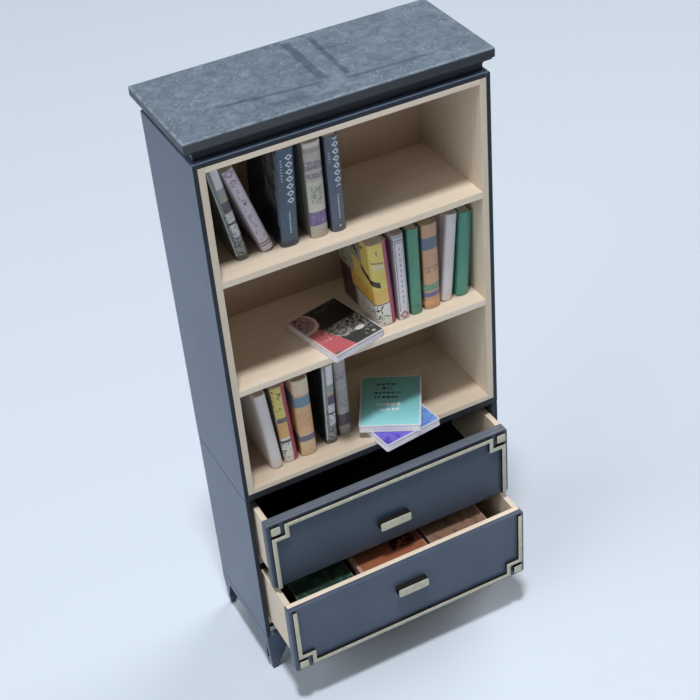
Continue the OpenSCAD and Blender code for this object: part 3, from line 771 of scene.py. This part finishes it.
def make_book(node, body, spec):
    """An upright book: printed cover with rounded spine and joint grooves, round a block of pages."""
    lo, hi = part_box(node)
    c = (lo + hi) / 2
    w, h, d = spec["w"], spec["h"], spec["d"]
    lean = math.radians(spec.get("lean", 0))
    tb = spec.get("board", 0.34)
    bulge = min(w * 0.36, 1.5)
    outer, inner = upright_cover(w, h, d, tb, bulge)
    # heights of the rings: the ends are drawn in a touch, so that head and foot look pressed
    zs = [(-h / 2, 0.10), (-h / 2 + 0.10, 0.02), (-h / 2 + 0.35, 0.0), (-h / 4, 0.0), (0, 0.0), (h / 4, 0.0), (h / 2 - 0.35, 0.0), (h / 2 - 0.10, 0.02), (h / 2, 0.10)]
    rnd = random.Random(node)
    verts, faces, art = [], [], []
    arc = [0.0]
    for a, b in zip(outer, outer[1:]):
        arc.append(arc[-1] + math.dist(a, b))
    mid = arc[-1] / 2
    m = len(outer)
    for z, pull_in in zs:
        for k, line in enumerate((outer, inner)):
            for i, (x, y) in enumerate(line):
                s = 1 - pull_in / max(w / 2, 0.5) * (0.9 if k == 0 else 0.0)
                yy = y + (pull_in * 0.8 if (k == 0 and y < -d / 2 + bulge) else 0)
                verts.append((x * s * MM, yy * MM, z * MM))
                edge = 1.0 if abs(z) > h / 2 - 0.2 else 0.0
                art.append((arc[i] - mid, z + h / 2, edge))
    R = 2 * m
    for j in range(len(zs) - 1):
        for i in range(m - 1):
            a = j * R + i
            faces.append((a, a + 1, a + 1 + R, a + R))                       # outside
            b = j * R + m + i
            faces.append((b + 1, b, b + R, b + 1 + R))                       # inside
        for i in (0, m - 1):
            a, b = j * R + i, j * R + m + i
            faces.append((a, a + R, b + R, b) if i == 0 else (b, b + R, a + R, a))
    for j in (0, len(zs) - 1):
        for i in range(m - 1):
            a, b = j * R + i, j * R + m + i
            f = (a, b, b + 1, a + 1)
            faces.append(f if j == 0 else tuple(reversed(f)))
    mat = cover_material(node + "_print", spec["base"], spec["art"], h, spec.get("rough", 0.32), spec.get("worn", 0.5))
    o = new_piece(node + "_cover", verts, faces, mat, smooth=True)
    at = o.data.attributes.new("art", "FLOAT_VECTOR", "POINT")
    for i, v in enumerate(art):
        at.data[i].vector = v
    bm = bmesh.new()
    bm.from_mesh(o.data)
    bmesh.ops.recalc_face_normals(bm, faces=bm.faces)
    bm.to_mesh(o.data)
    bm.free()
    shade_by_angle(o, 38)
    # the pages
    e = 0.45
    pw, y0, y1 = w / 2 - tb - 0.02, -d / 2 + bulge * 0.55 + tb, d / 2 - 0.5
    outline = []
    n = 8
    for i in range(n + 1):
        t = i / n
        outline.append((-pw + 2 * pw * t, y0 - (bulge * 0.45) * math.sin(math.pi * t) ** 0.9))
    for i in range(n + 1):
        t = i / n
        outline.append((pw - 2 * pw * t, y1 - 0.35 * math.sin(math.pi * t)))
    pv, pf = [], []
    k = len(outline)
    for z in (-h / 2 + e, h / 2 - e):
        for i, (x, y) in enumerate(outline):
            dz = 0.05 * math.sin(i * 1.7) if z > 0 else 0
            pv.append((x * MM, y * MM, (z + dz) * MM))
    for i in range(k):
        pf.append((i, (i + 1) % k, k + (i + 1) % k, k + i))
    pf.append(tuple(reversed(range(k))))
    pf.append(tuple(range(k, 2 * k)))
    p = new_piece(node + "_pages", pv, pf, pages_material(node + "_paper", spec.get("paper", (214, 206, 188)), "x"))
    add_bevel(p, 0.00006, 1, 50)
    world = Matrix.Translation(c) @ Matrix.Rotation(lean, 4, "Y")
    for piece in (o, p):
        piece.matrix_world = world
    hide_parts(node)
    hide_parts(node)
    for piece in (o, p):
        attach(piece, body)
    return o, p


def flat_material(name, base, layers, rough=0.3, rim=0.85):
    """Art on the top face of a lying book: u and v are millimetres from its middle, across and in depth."""
    m = Mat(name, rough=rough, spec=0.5, coat=0.2, coat_rough=0.15)
    u, v, edge = m.split(m.attr("art"))
    c = base
    for L in layers:
        kind, col = L[0], L[1]
        if kind == "rect":           # u0, u1, v0, v1
            f = m.mul(m.band(u, L[2], L[3], 0.08), m.band(v, L[4], L[5], 0.08))
        elif kind == "slant":        # a rect cut by a slanting edge: below v = L[6] + L[7] * u
            line = m.math("ADD", m.math("MULTIPLY", u, L[7]), L[6])
            f = m.mul(m.band(u, L[2], L[3], 0.08), m.band(v, L[4], L[5], 0.08), m.ramp(m.math("SUBTRACT", line, v), -0.1, 0.1))
        elif kind == "disc":         # centre u, v and radii
            du = m.math("DIVIDE", m.math("SUBTRACT", u, L[2]), L[4])
            dv = m.math("DIVIDE", m.math("SUBTRACT", v, L[3]), L[5])
            r = m.math("ADD", m.math("MULTIPLY", du, du), m.math("MULTIPLY", dv, dv))
            wob = m.ramp(m.noise(m.scaled(m.attr("art"), 1, 1, 0), 0.5, 2), 0.0, 1.0, -0.25, 0.25)
            f = m.ramp(m.math("ADD", r, wob), 1.04, 0.92)
        elif kind == "blots":        # u0, u1, v0, v1, scale, threshold, seed
            inside = m.mul(m.band(u, L[2], L[3], 0.3), m.band(v, L[4], L[5], 0.3))
            f = m.mul(inside, m.ramp(m.noise(m.scaled(m.attr("art"), 1, 1, 0, (L[8], 0, 0)), L[6], 3, 0.6, 0.6), L[7], L[7] + 0.05))
        elif kind == "dots":         # u0, u1, v0, v1, pitch u, pitch v, radius: rows of small marks, some missing
            inside = m.mul(m.band(u, L[2], L[3], 0.05), m.band(v, L[4], L[5], 0.05))
            fu = m.math("SUBTRACT", m.math("FRACT", m.math("DIVIDE", u, L[6])), 0.5)
            fv = m.math("SUBTRACT", m.math("FRACT", m.math("DIVIDE", m.math("SUBTRACT", v, L[4]), L[7])), 0.5)
            au, av = m.math("MULTIPLY", fu, L[6]), m.math("MULTIPLY", fv, L[7])
            r = m.math("ADD", m.math("MULTIPLY", au, au), m.math("MULTIPLY", av, av))
            some = m.ramp(m.noise(m.scaled(m.attr("art"), 1, 1, 0, (L[9], 0, 0)), 1.2, 1), 0.40, 0.44)
            f = m.mul(inside, some, m.ramp(r, L[8] ** 2 * 0.8, L[8] ** 2 * 1.2, 1.0, 0.0))
        elif kind == "grade":        # v0 to v1
            f = m.ramp(v, L[2], L[3])
        c = m.mix(c, col, f)
    o = m.obj()
    mott = m.noise(m.scaled(o, 800, 800, 800), 1.0, 4, 0.65)
    c = m.mix(c, ink(40, 40, 44), m.ramp(mott, 0.58, 0.80, 0.0, 0.16))
    c = m.mix(c, ink(226, 224, 220), m.ramp(mott, 0.24, 0.40, 0.14, 0.0))
    c = m.mix(c, ink(222, 216, 216), m.mul(edge, rim))
    m.colour(c)
    m.rough(mott, rough - 0.06, rough + 0.14, 0.3, 0.7)
    m.bump(mott, 0.00003, 0.4)
    return m.m


def flat_book(node, body, spec):
    """A lying book: thin cover boards with softly rounded corners round white pages, the top board bowed a little."""
    lo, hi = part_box(node)
    c = (lo + hi) / 2
    w, d, t = spec["w"], spec["d"], spec["t"]
    turn = math.radians(spec.get("turn", 0))
    tb = spec.get("board", 0.22)
    hw, hd, ht = w / 2, d / 2, t / 2
    mat = flat_material(node + "_print", spec["base"], spec["art"], spec.get("rough", 0.3), spec.get("rim", 0.85))
    nx, ny = 10, 10
    r = 0.55

    def corner(x, y):
        """Pulls a grid point in, so that the sheet has rounded corners."""
        ax, ay = abs(x) - (hw - r), abs(y) - (hd - r)
        if ax > 0 and ay > 0:
            k = math.hypot(ax, ay)
            m_ = max(ax, ay)
            if k > 0:
                s = m_ / k
                x = math.copysign(hw - r + ax * s, x)
                y = math.copysign(hd - r + ay * s, y)
        return x, y

    xs = [-hw, -hw + 0.2, -hw + r] + [(-hw + r) + (2 * hw - 2 * r) * i / nx for i in range(1, nx)] + [hw - r, hw - 0.2, hw]
    ys = [-hd, -hd + 0.2, -hd + r] + [(-hd + r) + (2 * hd - 2 * r) * i / ny for i in range(1, ny)] + [hd - r, hd - 0.2, hd]
    verts, faces, art = [], [], []

    def sheet(z_at, z_under):
        base = len(verts)
        for z_fn in (z_at, z_under):
            for y in ys:
                for x in xs:
                    px, py = corner(x, y)
                    verts.append((px * MM, py * MM, z_fn(x, y) * MM))
                    edge = 1.0 if (abs(x) > hw - 0.25 or abs(y) > hd - 0.25) else 0.0
                    art.append((x, y, edge))
        NX, NY = len(xs), len(ys)
        n1 = NX * NY
        for j in range(NY - 1):
            for i in range(NX - 1):
                a = base + j * NX + i
                faces.append((a, a + 1, a + 1 + NX, a + NX))
                b = a + n1
                faces.append((b + NX, b + 1 + NX, b + 1, b))
        for i in range(NX - 1):
            for j in (0, NY - 1):
                a = base + j * NX + i
                f = (a, a + n1, a + 1 + n1, a + 1)
                faces.append(f if j == 0 else tuple(reversed(f)))
        for j in range(NY - 1):
            for i in (0, NX - 1):
                a = base + j * NX + i
                f = (a, a + NX, a + NX + n1, a + n1)
                faces.append(f if i == 0 else tuple(reversed(f)))

    def crown(x, y):
        # the top board is bowed a little: highest in its middle and falling towards its edges, as a sheet that has been
        # opened
        return 0.05 * (math.sin(math.pi * (x + hw) / (2 * hw)) - 1) - 0.06 * max(0.0, (abs(y) - hd * 0.7) / (hd * 0.3)) ** 2

    sheet(lambda x, y: ht + crown(x, y), lambda x, y: ht - tb + crown(x, y))
    sheet(lambda x, y: -ht + tb, lambda x, y: -ht)
    o = new_piece(node + "_cover", verts, faces, mat)
    at = o.data.attributes.new("art", "FLOAT_VECTOR", "POINT")
    for i, v in enumerate(art):
        at.data[i].vector = v
    bm = bmesh.new()
    bm.from_mesh(o.data)
    bmesh.ops.recalc_face_normals(bm, faces=bm.faces)
    bm.to_mesh(o.data)
    bm.free()
    shade_by_angle(o, 38)
    # pages: a few stacked gatherings, each a hair different in size
    rnd = random.Random(node)
    pv, pf = [], []
    gaths = max(4, int(t / 0.28))
    z0, z1 = -ht + tb + 0.004, ht - tb - 0.115
    for g in range(gaths):
        za, zb = z0 + (z1 - z0) * g / gaths, z0 + (z1 - z0) * (g + 1) / gaths
        ix = 0.10 + rnd.random() * 0.10
        iy = 0.10 + rnd.random() * 0.10
        pts = round_poly([(-hw + ix, -hd + iy), (hw - ix, -hd + iy), (hw - ix, hd - iy), (-hw + ix, hd - iy)], 0.5, 3)
        b = len(pv)
        k = len(pts)
        mid = (za + zb) / 2
        for z, grow in ((za, -0.05), (mid, 0.0), (zb, -0.05)):
            for x, y in pts:
                pv.append(((x + math.copysign(grow, x)) * MM, (y + math.copysign(grow, y)) * MM, z * MM))
        for j in range(2):
            for i in range(k):
                pf.append((b + j * k + i, b + j * k + (i + 1) % k, b + (j + 1) * k + (i + 1) % k, b + (j + 1) * k + i))
        pf.append(tuple(b + i for i in reversed(range(k))))
        pf.append(tuple(b + 2 * k + i for i in range(k)))
    p = new_piece(node + "_pages", pv, pf, pages_material(node + "_paper", spec.get("paper", (250, 246, 251)), "z", 0.93))
    world = Matrix.Translation(c) @ Matrix.Rotation(turn, 4, "Z")
    for piece in (o, p):
        piece.matrix_world = world
    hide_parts(node)
    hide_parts(node)
    for piece in (o, p):
        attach(piece, body)
    return o, p


NAVY = ink(58, 76, 94)
PALE = ink(196, 204, 212)
GREY_MIX = [
    ("rect", ink(118, 126, 126), -9.0, -0.55, 0.0, 1.0),
    ("blots", ink(70, 72, 74), -2.0, 2.2, 0.0, 0.42, 1.1, 0.50, 3.0),
    ("rect", ink(214, 210, 216), -0.5, 2.4, 0.76, 1.0),
    ("rect", ink(160, 140, 108), -0.4, 1.4, 0.62, 0.68),
    ("rect", ink(74, 62, 72), -0.6, 1.9, 0.51, 0.62),
    ("rect", ink(222, 222, 226), -0.6, 1.9, 0.40, 0.50),
    ("rect", ink(28, 28, 30), -0.8, 1.9, 0.383, 0.40),
    ("rect", ink(208, 208, 210), -0.4, 1.9, 0.24, 0.375),
    ("lines", ink(60, 62, 66), -1.4, 2.2, 0.05, 0.5, 0.8, 0.5, 5.0),
    ("band", ink(74, 78, 76), 0.0, 0.05),
    ("rect", ink(190, 194, 196), -1.55, -1.3, 0.05, 0.95),
    # painted shade: the left cover a darker grey-green, for the shade on that side of the book
    ("rect", ink(50, 56, 56), -40.0, -1.8, 0.0, 1.0),
]
BRIGHT_SPINE = [
    ("rect", ink(216, 196, 104), -2.6, 1.3, 0.60, 1.0),
    ("blots", ink(92, 62, 44), -2.4, 0.6, 0.70, 0.97, 0.9, 0.55, 9.0),
    ("rect", ink(96, 84, 88), -2.0, 1.3, 0.53, 0.60),
    ("rect", ink(226, 180, 104), -2.6, 1.3, 0.33, 0.54),
    ("rect", ink(206, 204, 194), -2.6, 1.3, 0.0, 0.32),
    ("lines", ink(38, 38, 40), -2.6, 1.3, 0.0, 0.26, 0.45, 0.5, 2.0),
    ("band", ink(78, 72, 74), 0.265, 0.30),
]
ANTIQUE = [
    ("band", ink(190, 184, 174), 0.955, 1.0),
    ("band", ink(146, 138, 134), 0.90, 0.94),
    ("band", ink(122, 110, 120), 0.72, 0.81),
    ("blots", ink(170, 160, 158), -2.4, 2.4, 0.72, 0.81, 1.3, 0.54, 11.0),
    ("blots", ink(122, 110, 118), -2.4, 2.4, 0.63, 0.685, 1.6, 0.42, 14.0),
    ("band", ink(178, 176, 160), 0.28, 0.60),
    ("lines", ink(84, 80, 78), -1.6, 1.6, 0.36, 0.55, 0.75, 0.5, 6.0),
    ("lines", ink(84, 80, 78), -1.6, 1.6, 0.36, 0.55, 1.0, 0.46, 16.0),
    ("blots", ink(120, 114, 110), -1.4, 1.4, 0.38, 0.53, 1.3, 0.54, 21.0),
]
BOOKS = {
    "book_top_1": dict(w=3.4, h=28.5, d=19, lean=-10.5, base=ink(138, 142, 144), art=GREY_MIX),
    "book_top_2": dict(w=3.5, h=26.5, d=19, lean=-17.5, base=ink(184, 172, 184), art=[
        # painted shade: the left cover a darker copy of the lilac
        ("rect", ink(150, 142, 150), -40.0, -1.9, 0.0, 1.0),
        ("blots", ink(150, 140, 152), -0.9, 0.9, 0.08, 0.86, 0.7, 0.52, 1.0),
        ("lozenges", ink(142, 118, 146), -1.4, 1.4, 0.86, 1.0, 3.0, 1.8),
        ("dashes", ink(58, 50, 60), -0.35, 0.35, 0.575, 0.605, 0.9),
        ("rect", ink(112, 92, 104), -1.75, -1.5, 0.1, 1.0),
        ("band", ink(92, 84, 92), 0.095, 0.11), ("band", ink(92, 84, 92), 0.065, 0.078)]),
    "book_top_3": dict(w=5.1, h=27.4, d=19, lean=2.5, base=NAVY, paper=(206, 200, 176), worn=0.3, art=[
        # painted shade: the left cover a near-black copy of the navy
        ("rect", ink(20, 22, 34), -40.0, -2.55, 0.0, 1.0),
        ("streaks", ink(150, 152, 150), -10.0, -2.9, 0.42, 1.0, 1.0),
        ("rect", ink(120, 126, 136), -3.05, -2.75, 0.22, 0.95),
        ("lozenges", PALE, 0.0, 1.5, 0.44, 0.95, 2.0, 1.3),
        ("dashes", ink(150, 162, 176), -1.55, -1.15, 0.68, 0.90, 0.8),
        ("dashes", ink(168, 180, 192), -0.1, 0.28, 0.13, 0.37, 0.62),
        ("band", ink(44, 56, 72), 0.0, 0.055)]),
    "book_top_4": dict(w=5.0, h=27.2, d=19, base=ink(164, 158, 150), paper=(196, 190, 172), art=ANTIQUE + [
        ("band", ink(104, 84, 128), 0.135, 0.28), ("lines", ink(150, 136, 166), -2.4, 2.4, 0.15, 0.27, 0.8, 0.5, 8.0),
        # painted shade: the left cover (the last rect) a darker copy of the spine's colour
        ("rect", ink(110, 106, 102), -40.0, -2.6, 0.0, 1.0)]),
    "book_top_5": dict(w=4.2, h=27.4, d=18, base=ink(72, 80, 98), worn=0.3, art=[
        # painted shade: the left cover a darker copy of the navy
        ("rect", ink(40, 44, 60), -40.0, -2.1, 0.0, 1.0),
        ("lozenges", PALE, 0.0, 1.3, 0.48, 0.98, 2.0, 1.2),
        ("dashes", ink(140, 150, 166), -1.4, -1.0, 0.72, 0.84, 0.8),
        ("dashes", ink(168, 178, 190), 0.0, 0.36, 0.13, 0.40, 0.62),
        ("dashes", ink(206, 212, 218), -0.2, 0.4, 0.05, 0.075, 0.7)]),
    "book_mid_2": dict(w=5.8, h=26.5, d=20, lean=-3.5, base=ink(206, 204, 186), art=[
        ("rect", ink(150, 154, 136), -40.0, -2.9, 0.0, 1.0),
        ("lines", ink(52, 54, 50), -24.0, -8.0, 0.45, 1.0, 0.42, 0.5, 1.0),
        ("lines", ink(52, 54, 50), -24.0, -8.0, 0.45, 1.0, 0.6, 0.46, 4.0),
        # painted shade: the lower back part of the left cover dark crimson-brown
        ("rect", ink(62, 24, 34), -40.0, -14.5, 0.0, 0.46),
        ("rect", ink(196, 176, 96), -13.5, -2.9, 0.45, 0.70),
        ("rect", ink(204, 184, 100), -7.5, -2.9, 0.66, 1.0),
        ("rect", ink(222, 202, 102), -2.9, 1.2, 0.43, 1.0),
        ("slant", ink(52, 32, 26), -8.4, -0.7, 0.455, 0.525, -0.52),
        ("slant", ink(52, 32, 26), -12.0, -9.6, 0.475, 0.555, -0.75),
        ("slant", ink(120, 92, 60), -2.6, 0.9, 0.76, 0.775, -0.25),
        ("slant", ink(196, 182, 150), -2.4, 0.9, 0.70, 0.745, -0.25),
        ("blots", ink(70, 44, 34), -8.0, -0.6, 0.78, 1.0, 0.30, 0.58, 19.0),
        ("rect", ink(204, 164, 74), -15.5, -2.9, 0.27, 0.46),
        ("rect", ink(232, 192, 98), -2.9, 1.2, 0.28, 0.45),
        ("blots", ink(222, 190, 70), -12.0, -3.2, 0.29, 0.45, 0.5, 0.5, 6.0),
        ("band", ink(60, 44, 44), 0.262, 0.276),
        ("rect", ink(206, 206, 198), -13.0, 1.2, 0.0, 0.262),
        ("lines", ink(36, 36, 38), -12.0, 1.2, 0.02, 0.25, 0.28, 0.5, 2.0),
        ("rect", ink(160, 60, 82), 1.2, 40.0, 0.0, 1.0),
        ("rect", ink(112, 74, 126), 2.4, 2.9, 0.0, 1.0)]),
    "book_mid_3": dict(w=3.7, h=27.3, d=19, lean=-1.3, base=ink(196, 192, 200), paper=(190, 182, 176), art=[
        # painted shade: the left cover a darker copy of the silver-grey
        ("rect", ink(120, 106, 112), -40.0, -1.5, 0.0, 1.0),
        ("rect", ink(128, 108, 116), -1.25, -1.0, 0.1, 0.92), ("rect", ink(128, 108, 116), 1.1, 1.3, 0.1, 0.92),
        ("dashes", ink(120, 116, 126), -0.15, 0.15, 0.2, 0.85, 1.7),
        ("band", ink(112, 106, 112), 0.93, 0.945), ("band", ink(112, 106, 112), 0.905, 0.915), ("band", ink(150, 146, 152), 0.96, 1.0),
        ("lozenges", ink(146, 106, 112), -1.0, 1.0, 0.0, 0.12, 3.2, 1.7)]),
    "book_mid_4": dict(w=3.7, h=27.3, d=19, base=ink(66, 124, 100), worn=0.25, art=[
        # painted shade: the left cover a darker copy of the green
        ("rect", ink(42, 84, 70), -40.0, -1.85, 0.0, 1.0),
        # painted highlight and painted shade: the spine lighter in its middle and darker towards its right edge, for
        # the light on the rounded spine
        ("gradeu", ink(92, 156, 132), -1.2, 0.1), ("gradeu", ink(56, 110, 90), 0.7, 1.8),
        ("band", ink(56, 108, 90), 0.10, 0.112)]),
    "book_mid_5": dict(w=5.0, h=27.0, d=19, base=ink(176, 138, 108), paper=(200, 180, 150), art=[
        # painted shade: the left cover a darker copy of the tan
        ("rect", ink(120, 90, 66), -40.0, -2.5, 0.0, 1.0),
        ("band", ink(88, 98, 116), 0.71, 0.85),
        ("blots", ink(132, 92, 64), -2.0, 2.0, 0.44, 0.52, 1.5, 0.52, 5.0),
        ("band", ink(112, 128, 104), 0.225, 0.30), ("blots", ink(86, 128, 106), -2.4, 2.4, 0.22, 0.31, 1.0, 0.48, 5.0),
        ("band", ink(96, 92, 124), 0.15, 0.205), ("band", ink(196, 150, 104), 0.05, 0.10)]),
    "book_mid_6": dict(w=3.5, h=27.0, d=18, lean=5.5, base=ink(208, 204, 206), worn=0.2, art=[
        # painted shade: the left cover a darker copy of the white, and the spine darker towards its right edge
        ("rect", ink(184, 174, 176), -40.0, -1.6, 0.0, 1.0), ("gradeu", ink(186, 180, 182), 0.9, 2.2)]),
    "book_mid_7": dict(w=3.9, h=26.4, d=18, lean=4.2, base=ink(62, 126, 108), worn=0.2, art=[
        # painted highlight and painted shade: the spine lighter in its middle and darker towards its right edge, for
        # the light on the rounded spine
        ("gradeu", ink(96, 158, 144), -1.2, 0.2), ("gradeu", ink(52, 108, 92), 0.9, 1.9)]),
    "book_low_1": dict(w=3.5, h=26.6, d=20, lean=-5.5, base=ink(214, 208, 206), worn=0.2, art=[
                # painted shade: the left cover fades to grey towards its fore-edge
                ("gradeu", ink(150, 140, 134), -3.5, -16.0)]),
    "book_low_2": dict(w=4.5, h=26.6, d=19, lean=-3.5, base=ink(206, 202, 190), art=BRIGHT_SPINE + [
        # painted shade: the left cover (the last rect) a darker brown-grey
        ("rect", ink(150, 52, 74), 0.75, 40.0, 0.0, 1.0), ("rect", ink(92, 82, 76), -40.0, -2.3, 0.0, 1.0)]),
    "book_low_3": dict(w=5.0, h=26.4, d=19, lean=-1, base=ink(190, 164, 128), paper=(190, 172, 146), art=[
        # painted shade: the left cover a darker copy of the tan
        ("rect", ink(126, 100, 72), -40.0, -2.5, 0.0, 1.0),
        ("band", ink(196, 178, 152), 0.82, 1.0), ("band", ink(206, 192, 168), 0.955, 1.0),
        ("band", ink(96, 124, 138), 0.655, 0.79),
        ("band", ink(196, 156, 112), 0.30, 0.65),
        ("lines", ink(140, 98, 62), -1.8, 1.8, 0.38, 0.58, 0.9, 0.5, 6.0), ("blots", ink(150, 108, 72), -1.8, 1.8, 0.42, 0.56, 1.4, 0.58, 2.0),
        ("band", ink(96, 90, 106), 0.195, 0.27)]),
    "book_low_4": dict(w=3.7, h=26.8, d=20, lean=1.5, base=ink(134, 138, 140), art=GREY_MIX + [
        # painted shade: the left cover near-black
        ("rect", ink(16, 22, 36), -40.0, -1.9, 0.0, 1.0)]),
    "book_low_5": dict(w=4.0, h=27.2, d=18, base=ink(140, 136, 134), art=ANTIQUE[:4] + [
        ("band", ink(150, 146, 142), 0.28, 0.65),
        ("lines", ink(88, 84, 84), -1.7, 1.7, 0.36, 0.62, 0.9, 0.5, 6.0), ("lines", ink(88, 84, 84), -1.7, 1.7, 0.36, 0.62, 1.2, 0.46, 16.0),
        # painted shade: the left cover (the last rect) a darker grey
        ("band", ink(74, 60, 76), 0.13, 0.28), ("rect", ink(92, 88, 88), -40.0, -2.0, 0.0, 1.0)]),
}
for node, spec in BOOKS.items():
    make_book(node, node, spec)

flat_book("book_mid_1", "book_mid_1", dict(w=16.9, d=21, t=2.3, turn=13, base=ink_flat(16, 15, 20), art=[
    ("blots", ink_flat(78, 62, 66), -1.5, 8.0, 7.4, 10.3, 0.6, 0.52, 3.0),
    ("slant", ink_flat(52, 57, 56), -8.45, 8.45, -10.5, 1.5, -0.012, -0.24),
    ("blots", ink_flat(150, 148, 144), -3.4, 7.8, -5.6, 0.6, 1.15, 0.47, 3.0),
    ("blots", ink_flat(110, 112, 110), 3.4, 8.2, -9.6, -5.0, 0.8, 0.54, 13.0),
    ("disc", ink_flat(196, 176, 174), -6.8, 6.2, 4.9, 5.0),
    ("disc", ink_flat(150, 122, 124), -6.9, 6.6, 4.2, 4.2),
    ("blots", ink_flat(86, 56, 64), -8.2, -3.6, 4.4, 10.3, 0.45, 0.52, 5.0),
    ("slant", ink_flat(178, 92, 98), -8.45, 1.6, -10.5, 1.6, -13.2, -3.7),
    ("blots", ink_flat(204, 136, 136), -7.6, -3.2, -5.0, 1.2, 0.7, 0.55, 8.0),
    ("disc", ink_flat(206, 200, 204), 4.3, -5.2, 1.5, 0.85),
    ("disc", ink_flat(170, 168, 166), 6.0, -8.9, 0.6, 0.4),
    ("rect", ink_flat(104, 94, 92), -7.7, -6.0, -10.1, -9.2)]))
flat_book("book_low_6", "book_low_6", dict(w=17.3, d=22, t=2.3, turn=-29.7, base=ink_flat(106, 170, 172), paper=(250, 247, 252), art=[
    # painted light and painted shade: the cover darker towards its back and lighter towards its front, for the light
    # across the lying book
    ("grade", ink_flat(86, 142, 138), 0.0, 11.0), ("grade", ink_flat(142, 204, 212), -1.0, -11.0),
    ("dots", ink_flat(18, 26, 30), -4.4, 1.9, 6.6, 8.0, 1.45, 1.4, 0.56, 1.0),
    ("dots", ink_flat(18, 26, 30), -2.9, 0.4, 4.8, 6.1, 1.25, 1.3, 0.54, 4.0),
    ("dots", ink_flat(18, 26, 30), -5.0, 2.8, 2.8, 4.1, 1.2, 1.3, 0.52, 7.0),
    ("dots", ink_flat(18, 26, 30), -4.5, 2.0, 0.8, 2.1, 1.3, 1.3, 0.54, 9.0),
    ("dots", ink_flat(214, 226, 226), -3.8, 2.8, -2.7, -0.9, 1.6, 1.8, 0.78, 2.0),
    ("dots", ink_flat(214, 226, 226), -3.0, 2.4, -4.8, -3.2, 1.4, 1.6, 0.62, 5.0)]))
flat_book("book_low_7", "book_low_7", dict(w=18.3, d=13.6, t=2.3, turn=7.1, base=ink_flat(84, 118, 190), paper=(250, 247, 254), art=[
    ("slant", ink_flat(104, 92, 186), -9.2, 2.0, -6.8, 6.8, 2.0, -1.2),
    ("blots", ink_flat(72, 66, 170), -9.0, 0.0, -6.8, 6.8, 0.5, 0.54, 2.0),
    ("blots", ink_flat(108, 148, 206), 1.0, 9.0, -6.8, 6.8, 0.4, 0.5, 6.0)]))
flat_book("drawer_book_1", "lower_drawer", dict(w=18, d=17, t=12, base=ink(30, 48, 40), paper=(70, 76, 64), rim=0.12, art=[
    ("blots", ink(46, 74, 58), -9, 9, -8.5, 8.5, 0.35, 0.52, 2.0)]))
flat_book("drawer_book_2", "lower_drawer", dict(w=22, d=17, t=13.6, base=ink(132, 80, 54), paper=(150, 112, 90), rim=0.2, art=[
    # painted shade: the cover darker towards its back, under the upper drawer
    ("grade", ink(96, 44, 34), -2.0, 8.5),
    ("rect", ink(150, 120, 106), -11.0, -10.0, -8.5, 8.5),
    ("blots", ink(40, 14, 14), 1.0, 9.0, -4.0, 5.0, 0.5, 0.48, 3.0)]))
flat_book("drawer_book_3", "lower_drawer", dict(w=19, d=17, t=13.8, base=ink(118, 92, 76), paper=(120, 98, 82), rim=0.2, art=[
    ("blots", ink(96, 74, 64), -9, 9, -8.5, 8.5, 0.3, 0.52, 2.0),
    ("blots", ink(60, 50, 44), -8, -2, 3.0, 7.0, 0.8, 0.54, 2.0)]))

# ---------------------------------------------------------------- floor and light
fm = Mat("floor", rough=0.6, spec=0.2)
fo = fm.obj()
fc = fm.mix((0.705, 0.79, 0.89, 1), (0.69, 0.775, 0.875, 1), fm.noise(fm.scaled(fo, 3, 3, 3), 1.0, 2))
fm.colour(fc)
fm.bump(fm.noise(fm.scaled(fo, 700, 700, 700), 1.0, 2), 0.00002, 0.3)
S = 6.0
floor = new_piece("floor", [(-S, -S, 0), (S, -S, 0), (S, S, 0), (-S, S, 0)], [(0, 1, 2, 3)], fm.m)

world = bpy.data.worlds.new("studio")
scene.world = world
world.use_nodes = True
wn = world.node_tree
bg = wn.nodes["Background"]
bg.inputs["Color"].default_value = (1.0, 0.96, 0.92, 1)
bg.inputs["Strength"].default_value = 0.06


def sun(name, direction, strength, angle, colour=(1, 1, 1)):
    """A distant lamp that shines along direction."""
    l = bpy.data.lights.new(name, "SUN")
    l.energy = strength
    l.angle = math.radians(angle)
    l.color = colour
    o = bpy.data.objects.new(name, l)
    scene.collection.objects.link(o)
    o.rotation_mode = "QUATERNION"
    o.rotation_quaternion = Vector(direction).normalized().to_track_quat("-Z", "Y")
    return o


sun("left_fill", (0.9, 0.12, -0.7), 1.1, 50, (0.92, 0.96, 1.0))
sun("right_fill", (-0.75, -0.32, -0.62), 1.1, 40, (1.0, 0.985, 0.96))

# the key: a round lamp close overhead and a little in front, so that it falls off from the cornice down to the floor
kl = bpy.data.lights.new("overhead", "AREA")
kl.shape = "DISK"
kl.size = 0.165
kl.energy = 13.8
kl.color = (0.985, 0.99, 1.0)
ko = bpy.data.objects.new("overhead", kl)
scene.collection.objects.link(ko)
ko.location = (-0.14, -0.28, 1.5)
ko.rotation_mode = "QUATERNION"
ko.rotation_quaternion = Vector((0.14, 0.28, -1.38)).to_track_quat("-Z", "Y")
